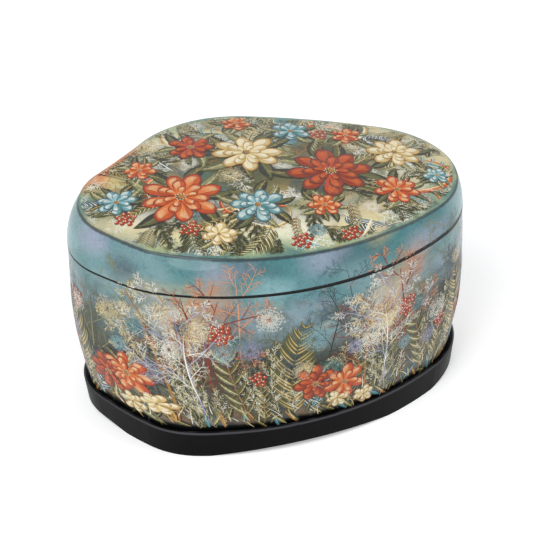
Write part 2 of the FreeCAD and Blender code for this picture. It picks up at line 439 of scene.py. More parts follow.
def place_on_dome(x, y, lift):
    """Points on the lid's dome with their upward directions."""
    slope_x = -(x - DOME_CREST[0]) / np.sqrt(DOME_RADIUS_X ** 2 - (x - DOME_CREST[0]) ** 2)
    slope_y = -(y - DOME_CREST[1]) / np.sqrt(DOME_RADIUS_Y ** 2 - (y - DOME_CREST[1]) ** 2)
    up = np.column_stack([-slope_x, -slope_y, np.ones(len(x))])
    up /= np.linalg.norm(up, axis=1, keepdims=True)
    return np.column_stack([x, y, dome(x, y)]) + up * lift[:, None], up


BODY = Wall(body_plan, FOOT_Z, MOUTH_Z, rows=56)
LID = Wall(lid_plan, LID_Z, LID_Z + WALL_REACH, rows=22)


def crease_heights():
    """Height at each station where the lid's wall meets the dome."""
    rise = np.full(STATIONS, 16.0)
    for _ in range(12):
        spot, _ = LID.place(DISTANCE, LID_Z + rise)
        rise = dome(spot[:, 0], spot[:, 1]) - LID_Z
    return LID_Z + rise


CREASE = crease_heights()
CREASE_PLAN = LID.place(DISTANCE, CREASE)[0][:, :2]


def groove_mask(distance):
    """True at the places round the mouth where the hinge's barrel lies."""
    centre, radius, start, end, side = MOUTH[2 * BACK_BLEND + 1]
    middle = (start + end) / 2
    pin = np.array(centre) + (radius - AXIS_INSET) * np.array([math.cos(middle), math.sin(middle)])
    axis = np.array([-math.sin(middle), math.cos(middle)])
    spot = BODY.place(distance, MOUTH_Z)[0][:, :2]
    away = spot - pin
    return (np.abs(away @ axis) < GROOVE_HALF) & (np.hypot(away[:, 0], away[:, 1]) < 40)


GROOVED = groove_mask(DISTANCE)
SEAM_Z = (MOUTH_Z + LID_Z) / 2


def make_mesh(name, points, faces, body, materials, indices=None, normals=None,
              readings=None):
    """A smooth mesh object, from points in millimetres, that rides on a body."""
    mesh = bpy.data.meshes.new(name)
    mesh.from_pydata((np.asarray(points) * MM).tolist(), [], faces)
    for material in materials:
        mesh.materials.append(material)
    mesh.polygons.foreach_set("use_smooth", [True] * len(mesh.polygons))
    if indices is not None:
        mesh.polygons.foreach_set("material_index", indices)
    for reading, values in (readings or {}).items():
        values = np.asarray(values, np.float32)
        coloured = values.ndim == 2
        attribute = mesh.attributes.new(reading, "FLOAT_COLOR" if coloured else "FLOAT", "POINT")
        attribute.data.foreach_set("color" if coloured else "value", values.ravel())
    mesh.update()
    if normals is not None:
        mesh.normals_split_custom_set_from_vertices(np.asarray(normals).tolist())
    piece = bpy.data.objects.new(name, mesh)
    bpy.context.scene.collection.objects.link(piece)
    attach(piece, body)


def grid_faces(rows, columns):
    """Quads between rows of points, joined round."""
    faces = []
    for row in range(rows - 1):
        for column in range(columns):
            after = (column + 1) % columns
            faces.append((row * columns + column, row * columns + after,
                          (row + 1) * columns + after, (row + 1) * columns + column))
    return faces


# Widths of a brush stroke along its length, as shares of its greatest width
STROKES = {
    "line": lambda t: np.minimum(1, 5 * t + 0.25) * np.minimum(1, 2.2 * (1 - t) + 0.12),
    "leaf": lambda t: np.sin(np.pi * t ** 0.8) ** 0.9,
    "petal": lambda t: np.sin(np.pi * t ** 1.7) ** 0.65,
    "comma": lambda t: np.sqrt(np.minimum(1, t / 0.14)) * (1 - t) ** 0.85,
    "dot": lambda t: np.sqrt(np.clip(1 - (2 * t - 1) ** 2, 0, 1)),
}

# Width below which no part of a stroke goes, in millimetres
FINEST = 0.05


class Brush:
    """Collects strokes in flat canvas coordinates and lays them on one of the painted faces."""

    def __init__(self, seed):
        self.random = np.random.default_rng(seed)
        self.strokes = []

    def between(self, low, high):
        """A number drawn evenly between two others."""
        return self.random.uniform(low, high)

    def stroke(self, path, width, paint, layer=0, kind="line"):
        """One stroke along a path, as wide as its kind makes it at each point."""
        share = np.linspace(0, 1, len(path))
        widths = np.maximum(STROKES[kind](share) * width, FINEST)
        self.strokes.append((np.asarray(path, float), widths, paint, layer))

    def dot(self, x, y, size, paint, layer):
        """A round dot, as one short stroke."""
        path = np.column_stack([np.linspace(x - size / 2, x + size / 2, 7), np.full(7, y)])
        self.stroke(path, size, paint, layer, "dot")


class Airbrush:
    """Soft dabs of paint that a ground carries at its points, under the brushwork."""

    def __init__(self):
        self.dabs = []

    def dab(self, x, y, radius, paint, strength):
        """One round dab that fades out over its radius."""
        self.dabs.append((x, y, radius, PAINTS[paint], strength))

    def sweep(self, path, radius, paint, strength):
        """Dabs along a path, smaller towards its end."""
        for index, (x, y) in enumerate(path):
            self.dab(x, y, radius * (1 - 0.6 * index / len(path)), paint, strength)

    def spread(self, x, y, turn=None):
        """Colour and cover at each point, on a canvas that may close round after one turn."""
        cover = np.zeros((len(x), 4))
        for spot_x, spot_y, radius, tint, strength in self.dabs:
            away_x = x - spot_x
            if turn:
                away_x = (away_x + turn / 2) % turn - turn / 2
            near = np.exp(-((away_x ** 2 + (y - spot_y) ** 2) / radius ** 2) ** 1.4) * strength
            touched = near > 0.004
            share = near[touched, None]
            cover[touched] = cover[touched] * (1 - share) + np.array(tint) * share
        shown = np.maximum(cover[:, 3:], 1e-4)
        return np.column_stack([cover[:, :3] / shown, cover[:, 3]])


def curl(start, heading, length, turn, count=12, tighten=1.0):
    """A path whose heading, in radians, turns steadily, or ever faster, along its length."""
    share = np.linspace(0, 1, count)
    angle = heading + turn * share ** tighten
    steps = np.column_stack([np.cos(angle), np.sin(angle)]) * length / (count - 1)
    path = np.cumsum(steps, axis=0) - steps[0]
    return path + np.asarray(start, float)


def heading_at(path, index):
    """Heading of a path at one of its points."""
    step = path[min(index + 1, len(path) - 1)] - path[max(index - 1, 0)]
    return math.atan2(step[1], step[0])


def leaf(brush, start, heading, length, tints, layer, turn, plump=0.34):
    """A leaf of three tints with a pale vein and fine side strokes."""
    dark, middle, light = tints
    spine = curl(start, heading, length, turn, 10)
    width = length * plump
    brush.stroke(spine, width, dark, layer, "leaf")
    aside = np.array([-math.sin(heading), math.cos(heading)]) * width * 0.13
    inner = curl(np.asarray(start) + aside, heading, length * 0.86, turn, 9)
    brush.stroke(inner, width * 0.5, middle, layer + 1, "leaf")
    brush.stroke(spine, 0.28, light, layer + 2)
    for index in range(3, len(spine) - 2, 2):
        base = spine[index]
        along = heading_at(spine, index)
        for side in (-1, 1):
            reach = width * 0.42 * math.sin(math.pi * index / len(spine))
            vein = curl(base, along + side * 0.75, reach, -side * 0.4, 3)
            brush.stroke(vein, 0.18, light, layer + 2)


def petal_ring(brush, centre, size, count, tints, layer, spin, plump):
    """One ring of petals, each laid dark to light with fine strokes in from its tip."""
    shade, base, lit, pale = tints
    for index in range(count):
        angle = spin + (index + brush.between(-0.12, 0.12)) * 2 * math.pi / count
        ray = np.array([math.cos(angle), math.sin(angle)])
        across = np.array([-ray[1], ray[0]])
        reach = size * brush.between(0.92, 1.06)
        width = reach * plump
        start = centre + ray * reach * 0.05
        bend = brush.between(-0.25, 0.25)
        level = layer + index % 2
        whole = curl(start, angle, reach, bend, 16)
        brush.stroke(whole, width * 1.1, shade, level, "petal")
        inner = curl(start, angle, reach * 0.95, bend, 16)
        brush.stroke(inner, width * 0.98, base, level + 1, "petal")
        side = 1 if across[1] - across[0] > 0 else -1
        shine = curl(start + across * side * width * 0.13, angle, reach * 0.86, bend, 14)
        brush.stroke(shine, width * 0.56, lit, level + 2, "petal")
        fine = 7 + int(size / 3)
        for step in range(fine):
            offset = 2 * step / (fine - 1) - 1
            tip = centre + ray * reach * (0.93 - 0.13 * offset ** 2) + across * width * 0.4 * offset
            inward = math.atan2(*(centre - tip)[::-1])
            long = reach * brush.between(0.22, 0.44)
            paint = pale if offset * side > -0.3 else lit
            brush.stroke(curl(tip, inward, long, 0.15 * offset, 6), 0.3, paint, level + 3, "comma")


def flower(brush, x, y, size, petals, tints, layer, spin):
    """A full flower of two or three rings of petals round a dotted heart."""
    centre = np.array([x, y])
    petal_ring(brush, centre, size, petals, tints, layer, spin, 3.4 / petals)
    petal_ring(brush, centre, size * 0.7, petals - 1, tints, layer + 4, spin + 0.5, 3.5 / petals)
    if size > 12:
        petal_ring(brush, centre, size * 0.44, petals - 2, tints, layer + 8, spin + 1.1, 3.6 / petals)
        layer += 4
    brush.dot(x, y, size * 0.26, "bark", layer + 8)
    brush.dot(x + size * 0.02, y + size * 0.02, size * 0.19, "ochre", layer + 9)
    for index in range(16):
        angle = index * 2 * math.pi / 16 + spin
        reach = size * (0.11 if index % 2 else 0.15)
        spot = centre + reach * np.array([math.cos(angle), math.sin(angle)])
        brush.dot(*spot, max(size * 0.035, 0.35), "cream", layer + 10)


def fern(brush, start, heading, length, turn, tints, layer, leaves):
    """A frond: a stem with pairs of slim, curving leaves that shorten towards its tip."""
    dark, light = tints
    stem = curl(start, heading, length, turn, 30, 1.3)
    brush.stroke(stem, 0.55, dark, layer)
    for index in range(leaves):
        share = 0.12 + 0.86 * index / leaves
        spot = int(share * 29)
        along = heading_at(stem, spot)
        reach = length * 0.25 * math.sin(math.pi * (0.2 + 0.78 * share)) + 1.2
        for side in (-1, 1):
            long = reach * brush.between(0.85, 1.12)
            path = curl(stem[spot], along + side * 1.05, long, -side * 0.6, 9)
            brush.stroke(path, 0.5 + long * 0.16, dark, layer, "leaf")
            brush.stroke(path[:-1] + 0.12, 0.2 + long * 0.05, light, layer + 1, "comma")


def fir_sprig(brush, start, heading, length, turn, layer):
    """A needled sprig with side twigs, darker below and frosted along its upper side."""
    stem = curl(start, heading, length, turn, 20)
    brush.stroke(stem, 0.7, "fir", layer)
    twigs = [(stem, 1.0)]
    for index in range(3, 18, 2):
        along = heading_at(stem, index)
        side = 1 if index % 4 == 3 else -1
        reach = length * 0.42 * (1 - index / 22)
        twig = curl(stem[index], along + side * 0.75, reach, -side * 0.5, 10)
        brush.stroke(twig, 0.4, "fir", layer)
        twigs.append((twig, 0.8))
    for twig, scale in twigs:
        count = max(int(np.linalg.norm(twig[-1] - twig[0]) / 0.5), 4)
        for index in range(count):
            share = (index + 0.5) / count
            spot = min(int(share * (len(twig) - 1)), len(twig) - 2)
            base = twig[spot] + (twig[spot + 1] - twig[spot]) * (share * (len(twig) - 1) - spot)
            along = heading_at(twig, spot)
            for side in (-1, 1):
                reach = scale * brush.between(2.6, 4.0) * (1 - 0.45 * share)
                needle = curl(base, along + side * brush.between(0.55, 0.95), reach, -side * 0.35, 5)
                paint = "fir" if brush.random.random() < 0.55 else "moss"
                brush.stroke(needle, 0.5, paint, layer + 1, "comma")
                if brush.random.random() < 0.6 and needle[-1][1] > base[1] - 0.6:
                    paint = ("frost", "cream", "sage")[int(brush.between(0, 3))]
                    brush.stroke(needle + [0.0, 0.25], 0.28, paint, layer + 2, "comma")


def rowan(brush, start, heading, length, turn, layer, berries, size):
    """A rowan spray: paired leaflets along a stem and a cluster of berries at its end."""
    stem = curl(start, heading, length, turn, 18)
    brush.stroke(stem, 0.45, "ochre", layer)
    for index in range(2, 13, 2):
        along = heading_at(stem, index)
        for side in (-1, 1):
            tints = ("moss", "sage", "cream") if side > 0 else ("fir", "moss", "straw")
            leaf(brush, stem[index], along + side * 0.95, length * 0.2, tints, layer,
                 -side * 0.5, 0.3)
    tip = stem[-1]
    for index in range(berries):
        angle = index * EVEN_TURN
        reach = size * 0.56 * math.sqrt(index)
        x = tip[0] + reach * math.cos(angle)
        y = tip[1] + reach * math.sin(angle)
        brush.stroke(np.linspace(stem[-4], (x, y), 5), 0.2, "ochre", layer)
        brush.dot(x, y, size, "rust", layer + 1)
        brush.dot(x - size * 0.09, y + size * 0.1, size * 0.7, "ember", layer + 2)
        brush.dot(x - size * 0.2, y + size * 0.22, size * 0.24, "frost", layer + 3)


def lace(brush, start, heading, length, paint, depth, layer, turn, width, wood=None):
    """Frost lace: a curved line that keeps branching, its coarser lines in another paint."""
    path = curl(start, heading, length, turn, (3, 8, 10, 13, 16)[depth])
    brush.stroke(path, width, wood if wood and depth > 1 else paint, layer)
    if depth == 0:
        return
    side = 1
    for index in range(5 if depth == 4 else 2, len(path) - 1, 2 if depth > 2 else 1):
        along = heading_at(path, index)
        reach = length * (0.6 - 0.36 * index / len(path)) * brush.between(0.65, 1.1)
        lace(brush, path[index], along + side * brush.between(0.45, 0.95), reach, paint,
             depth - 1, layer, side * brush.between(-0.7, 0.9), max(width * 0.58, 0.15), wood)
        side = -side


def seed_head(brush, x, y, size, paint, layer):
    """A round head of fine rays that fork at their tips."""
    centre = np.array([x, y])
    rays = 30 + int(size * 4)
    for index in range(rays):
        angle = index * EVEN_TURN
        ray = np.array([math.cos(angle), math.sin(angle)])
        reach = size * math.sqrt((index + 1) / rays) * brush.between(0.85, 1.05)
        tip = centre + ray * reach
        brush.stroke(np.linspace(centre + ray * reach * 0.35, tip, 3), 0.2, paint, layer)
        for side in (-0.9, -0.3, 0.3, 0.9):
            tine = curl(tip, angle + side, brush.between(0.8, 1.6), side * 0.5, 3)
            brush.stroke(tine, 0.24, paint, layer + 1, "comma")


def scroll(brush, start, heading, length, turn, tints, layer, width):
    """A big curling brush stroke, shaded across, with finer strokes that split off it."""
    shade, base, lit, pale = tints
    path = curl(start, heading, length, turn, 40, 1.7)
    brush.stroke(path, width * 1.08, shade, layer, "comma")
    side = 1 if turn > 0 else -1
    shading = ((base, 0.84, 0.06), (lit, 0.5, 0.2), (pale, 0.16, 0.34))
    for number, (paint, wide, offset) in enumerate(shading):
        ahead = np.gradient(path, axis=0)
        ahead /= np.linalg.norm(ahead, axis=1, keepdims=True)
        aside = np.column_stack([-ahead[:, 1], ahead[:, 0]]) * side * width * offset
        taper = STROKES["comma"](np.linspace(0, 1, len(path)))[:, None]
        shorter = (path + aside * taper)[:-3 - 2 * number]
        brush.stroke(shorter, width * wide, paint, layer + 1 + number, "comma")
    for index in range(3, 26, 3):
        along = heading_at(path, index)
        reach = length * 0.17 * (1 - index / 36)
        shoot = curl(path[index], along - side * 0.7, reach, -side * 1.2, 10)
        brush.stroke(shoot[::-1], width * 0.42, base, layer, "comma")
        brush.stroke(shoot[::-1] + 0.15, width * 0.16, lit, layer + 1, "comma")
        brush.stroke(shoot[::-1] + 0.3, 0.24, pale, layer + 2, "comma")


def ribbons(strokes, place):
    """Points, faces, paints and normals of the strokes, set on a face by its placing rule."""
    canvas, lifts, faces, paints = [], [], [], []
    base = 0
    for number, (path, widths, paint, layer) in enumerate(strokes):
        ahead = np.gradient(path, axis=0)
        ahead /= np.maximum(np.linalg.norm(ahead, axis=1, keepdims=True), 1e-9)
        across = np.column_stack([-ahead[:, 1], ahead[:, 0]])
        columns = 2 + int(widths.max() / 1.5)
        shares = np.linspace(-0.5, 0.5, columns)
        points = path[:, None, :] + across[:, None, :] * (widths[:, None] * shares)[:, :, None]
        canvas.append(points.reshape(-1, 2))
        lift = STROKE_LIFT + LAYER_LIFT * layer + TIE_LIFT * (number % 7)
        lifts.append(np.full(len(path) * columns, lift))
        corner = base + np.arange(len(path) - 1)[:, None] * columns + np.arange(columns - 1)
        corner = corner.ravel()
        faces.append(np.column_stack([corner, corner + columns, corner + columns + 1, corner + 1]))
        paints += [paint] * len(corner)
        base += len(path) * columns
    canvas = np.concatenate(canvas)
    points, normals = place(canvas[:, 0], canvas[:, 1], np.concatenate(lifts))
    return points, np.concatenate(faces), paints, normals


def lay(name, strokes, place, body):
    """Lays strokes on a painted face as one piece, with a slot for each paint."""
    if not strokes:
        return
    points, faces, paints, normals = ribbons(strokes, place)
    along = points[faces[:, 1]] - points[faces[:, 0]]
    across = points[faces[:, 3]] - points[faces[:, 0]]
    facing = np.einsum("ij,ij->i", np.cross(along, across), normals[faces[:, 0]])
    faces = np.where(facing[:, None] < 0, faces[:, ::-1], faces)
    used = sorted(set(paints))
    indices = [used.index(paint) for paint in paints]
    materials = [paint_material(paint) for paint in used]
    make_mesh(name, points, faces.tolist(), body, materials, indices, normals)


def paint_material(paint):
    """Glossy paint of one pigment under the clear lacquer."""
    name = "paint_" + paint
    if name in bpy.data.materials:
        return bpy.data.materials[name]
    return Finish(name).close(Base_Color=PAINTS[paint], Roughness=0.5, **OUTER_COAT)


def split_at_seam(strokes):
    """Parts the side strokes at the seam's gap and ends them at the foot and the crease."""
    body_part, lid_part = [], []
    for path, widths, paint, layer in strokes:
        z = path[:, 1]
        if FOOT_Z + FOOT_CLEAR < z.min() and z.max() < SEAM_Z - 3:
            body_part.append((path, widths, paint, layer))
            continue
        spot = path[:, 0] % PERIMETER
        crease = np.interp(spot, DISTANCE, CREASE) - WALL_TOP_CLEAR - widths / 2
        at_groove = np.interp(spot, DISTANCE, GROOVED.astype(float)) > 0
        margin = np.where(at_groove, GROOVE_RADIUS + GROOVE_CLEAR, SEAM_CLEAR) + widths / 2
        area = np.where(z < SEAM_Z - margin, 1, np.where(z > SEAM_Z + margin, 2, 0))
        area[(z < FOOT_Z + FOOT_CLEAR) | (z > crease)] = 0
        start = 0
        for index in range(1, len(path) + 1):
            if index == len(path) or area[index] != area[start]:
                if area[start] and index - start > 2:
                    run = (path[start:index], widths[start:index], paint, layer)
                    (body_part if area[start] == 1 else lid_part).append(run)
                start = index
    return body_part, lid_part


# Paints of a petal and of a leaf, from dark to light
TINTS = {
    "warm": ("rust", "ember", "apricot", "cream"),
    "deep": ("bark", "rust", "ember", "apricot"),
    "cold": ("slate", "teal", "sky", "frost"),
    "pale": ("ochre", "straw", "cream", "frost"),
}
FOLIAGE = (("fir", "moss", "sage"), ("moss", "sage", "cream"), ("fir", "moss", "straw"),
           ("slate", "teal", "sky"), ("bark", "ochre", "straw"))


def places_round(count, draw, low, high):
    """Places round the box at even steps, each shifted by a draw that is made in its turn."""
    for index in range(count):
        yield index, PERIMETER * (index + draw(low, high)) / count


class SidePainting:
    """The plants that grow round the sides, as soft underpainting and as brushwork."""

    # Each kind is painted by the method of its name, from its place, its size and its lean
    KINDS = ("tall_lace", "fir", "bloom", "warm_lace", "fern", "cream_lace", "rowan", "deep_bloom")

    # Shade and glow behind each kind of plant, as across, up, radius, paint and strength
    GLOWS = {
        "tall_lace": ((0, -14, 20, "fir", 0.8), (-4, 10, 19, "slate", 0.7), (0, 16, 13, "frost", 0.4)),
        "warm_lace": ((0, 10, 13, "apricot", 0.4), (4, -12, 16, "bark", 0.85),
                      (-6, 24, 11, "straw", 0.35), (6, 32, 9, "peach", 0.4)),
        "cream_lace": ((0, -6, 19, "fir", 0.85), (4, 16, 11, "cream", 0.35)),
        "fir": ((0, -12, 17, "fir", 0.95), (2, 4, 10, "fir", 0.6)),
        "fern": ((0, -14, 18, "fir", 0.9),),
        "rowan": ((0, -8, 16, "bark", 0.6), (-8, 18, 12, "teal", 0.5)),
        "bloom": ((0, -14, 17, "fir", 0.95), (8, 14, 9, "sky", 0.5)),
        "deep_bloom": ((0, -14, 17, "fir", 0.95), (8, 14, 9, "sky", 0.5)),
    }

    def __init__(self, count, seed):
        draw = np.random.default_rng(seed).uniform
        self.plants = []
        for index, spot in places_round(count, draw, -0.2, 0.2):
            kind = self.KINDS[(index * 3) % len(self.KINDS)]
            self.plants.append((spot, kind, draw(0, 1), draw(-0.6, 0.6)))

    def air(self):
        """Underpainting: haze under the crease, its lilac partly a painted sheen, shade at the plants'
        feet and between them.
        """
        air = Airbrush()
        draw = np.random.default_rng(3).uniform
        # Haze on the lid's wall under the crease: colour in the painting, and its lilac sweeps also a
        # painted lavender sheen along the wall
        for index, spot in places_round(36, draw, -0.4, 0.4):
            paint = ("lilac", "slate", "sky", "teal", "lilac", "slate", "straw", "teal")[index % 8]
            path = curl((spot, draw(94, 112)), draw(-0.25, 0.25), draw(10, 26), 0.1, 8)
            air.sweep(path, draw(5, 8), paint, 0.2)
        for index, spot in places_round(90, draw, -0.4, 0.4):
            paint = ("moss", "bark", "ochre", "slate", "fir", "sky")[index * 5 % 6]
            air.dab(spot, draw(15, 34), draw(5, 10), paint, draw(0.3, 0.7))
        for index, spot in places_round(44, draw, -0.4, 0.4):
            air.dab(spot, draw(30, 66), draw(6, 10), ("fir", "ink")[index % 2], 0.5)
        for spot, kind, size, _ in self.plants:
            for across, up, radius, paint, strength in self.GLOWS[kind]:
                air.dab(spot + across, 48 + 16 * size + up, radius, paint, strength)
        return air

    def brushwork(self):
        """Paints the plants with a brush for each family and gives the families' strokes."""
        self.laces, self.leaves, self.blooms = Brush(11), Brush(12), Brush(13)
        self.sprigs, self.heads = Brush(14), Brush(15)
        for index, (spot, kind, size, lean) in enumerate(self.plants):
            self.backing(spot, index)
            getattr(self, kind)(spot, size, lean)
        self.seeding()
        self.crowns()
        self.turf()
        return {"frost_lace": self.laces.strokes, "foliage": self.leaves.strokes,
                "fir_sprigs": self.sprigs.strokes, "seed_heads": self.heads.strokes,
                "flowers": self.blooms.strokes}

    def backing(self, spot, index):
        """Darker lace behind a plant."""
        brush = self.laces
        paint = ("slate", "fir", "ink", "rust", "sage", "moss")[index % 6]
        up = UP + brush.between(-0.25, 0.25)
        foot = (spot + brush.between(-8, 8), brush.between(14, 34))
        lace(brush, foot, up, brush.between(40, 58), paint, 3, 0, brush.between(-0.4, 0.4), 0.7)

    def tall_lace(self, spot, size, lean):
        lace(self.laces, (spot, 18), UP - lean * 0.3, 64 + 16 * size, "frost", 4, 5, lean, 0.95,
             "lilac")
        lace(self.laces, (spot + lean * 4, 34), UP + lean * 0.5, 40, "frost", 3, 6, -lean, 0.6)
        fir_sprig(self.sprigs, (spot + 7, 16), UP - 0.3, 26, 0.3, 3)
        fir_sprig(self.sprigs, (spot - 6, 16), UP + 0.25, 32, -0.3, 2)

    def warm_lace(self, spot, size, lean):
        tip, wood = ("peach", "rust") if size > 0.5 else ("straw", "bark")
        lace(self.laces, (spot, 18), UP - lean * 0.3, 66 + 16 * size, tip, 4, 4, lean, 0.95, wood)
        lace(self.laces, (spot - 4, 24), UP + 0.2, 44, "sage", 3, 5, -lean, 0.6)
        fir_sprig(self.sprigs, (spot - 9, 16), UP + 0.1, 46, 0.2, 2)

    def cream_lace(self, spot, size, lean):
        lace(self.laces, (spot, 18), UP - lean * 0.3, 60 + 16 * size, "cream", 4, 5, lean, 0.9,
             "ochre")
        fern(self.leaves, (spot - 6, 15), UP + 0.3, 34, -0.4, ("fir", "sage"), 3, 13)
        fir_sprig(self.sprigs, (spot + 9, 16), UP - 0.1, 42, -0.2, 2)

    def fir(self, spot, size, lean):
        for offset, long, tip in ((-8, 34, 0.2), (8, 30, -0.25), (0, 50 + 8 * size, 0.0)):
            foot = (spot + offset, 17 + abs(offset) * 0.4)
            fir_sprig(self.sprigs, foot, UP + tip, long, lean * 0.4, 2)

    def fern(self, spot, size, lean):
        fern(self.leaves, (spot, 16), UP, 54 + 10 * size, lean, ("moss", "straw"), 3, 18)
        fern(self.leaves, (spot + 8, 16), UP - 0.25, 36, -0.4, ("slate", "frost"), 3, 14)
        fern(self.leaves, (spot - 9, 16), UP + 0.3, 30, 0.4, ("fir", "sage"), 2, 12)

    def rowan(self, spot, size, lean):
        rowan(self.leaves, (spot, 18), UP + 0.1, 50 + 10 * size, lean * 1.3, 4, 17, 2.5)
        rowan(self.leaves, (spot + 6, 17), UP - 0.35, 30, 0.4, 4, 12, 2.3)

    def bloom(self, spot, size, lean, tints="warm"):
        high = 34 + 12 * size
        self.leaves.stroke(curl((spot, 16), UP, high - 16, 0.1, 14), 1.0, "moss", 3)
        for index in range(9):
            angle = index * 0.7 + size
            start = (spot + 4 * math.cos(angle), high + 4 * math.sin(angle))
            leaf(self.leaves, start, angle, 13, FOLIAGE[index % 3], 3, 0.5 * (-1) ** index)
        flower(self.blooms, spot, high, 11.5 + 2 * size, 7, TINTS[tints], 5, size * 6)
        flower(self.blooms, spot + 11, high - 14, 6.5, 6, TINTS["pale"], 5, size * 3)

    def deep_bloom(self, spot, size, lean):
        self.bloom(spot, size, lean, "deep")

    def seeding(self):
        """Seed heads scattered among the plants."""
        brush = self.heads
        for index, spot in places_round(64, brush.between, -0.4, 0.4):
            paint = ("frost", "slate", "cream", "sky", "teal", "lilac")[index % 6]
            seed_head(brush, spot, brush.between(40, 82), brush.between(4, 8), paint, 6)

    def crowns(self):
        """Crowns of lace that reach over the seam onto the lid's wall."""
        for index in range(9):
            foot = (PERIMETER * (index + 0.3) / 9, 60)
            up = UP + self.laces.between(-0.2, 0.2)
            lace(self.laces, foot, up, 48, ("slate", "sage", "peach")[index % 3], 3, 1, 0.2, 0.55)

    def turf(self):
        """Low leaves and grasses that hide the plants' feet."""
        brush = self.leaves
        for index, spot in places_round(130, brush.between, -0.4, 0.4):
            up = UP + brush.between(-1.0, 1.0)
            tints = FOLIAGE[(index * 3) % 5]
            leaf(brush, (spot, brush.between(13, 22)), up, brush.between(8, 13), tints, 5,
                 brush.between(-0.7, 0.7), 0.3)
        for index, spot in places_round(260, brush.between, 0, 1):
            paint = ("frost", "moss", "sage", "straw", "cream", "slate")[index % 6]
            up = UP + brush.between(-0.8, 0.8)
            blade = curl((spot, brush.between(14, 26)), up, brush.between(5, 12),
                         brush.between(-0.9, 0.9), 8)
            brush.stroke(blade, brush.between(0.3, 0.7), paint, 7, "comma")


def places_on_dome(count, half_width, half_depth, least=0.0, span=1.0, turn=0.0):
    """Places spread evenly over the dome from its middle outwards, with their bearings."""
    for index in range(count):
        angle = index * EVEN_TURN + turn
        reach = least + span * math.sqrt((index + 0.5) / count)
        x = DOME_HUB[0] + half_width * reach * math.cos(angle)
        y = DOME_HUB[1] + half_depth * reach * math.sin(angle)
        yield index, angle, (x, y)


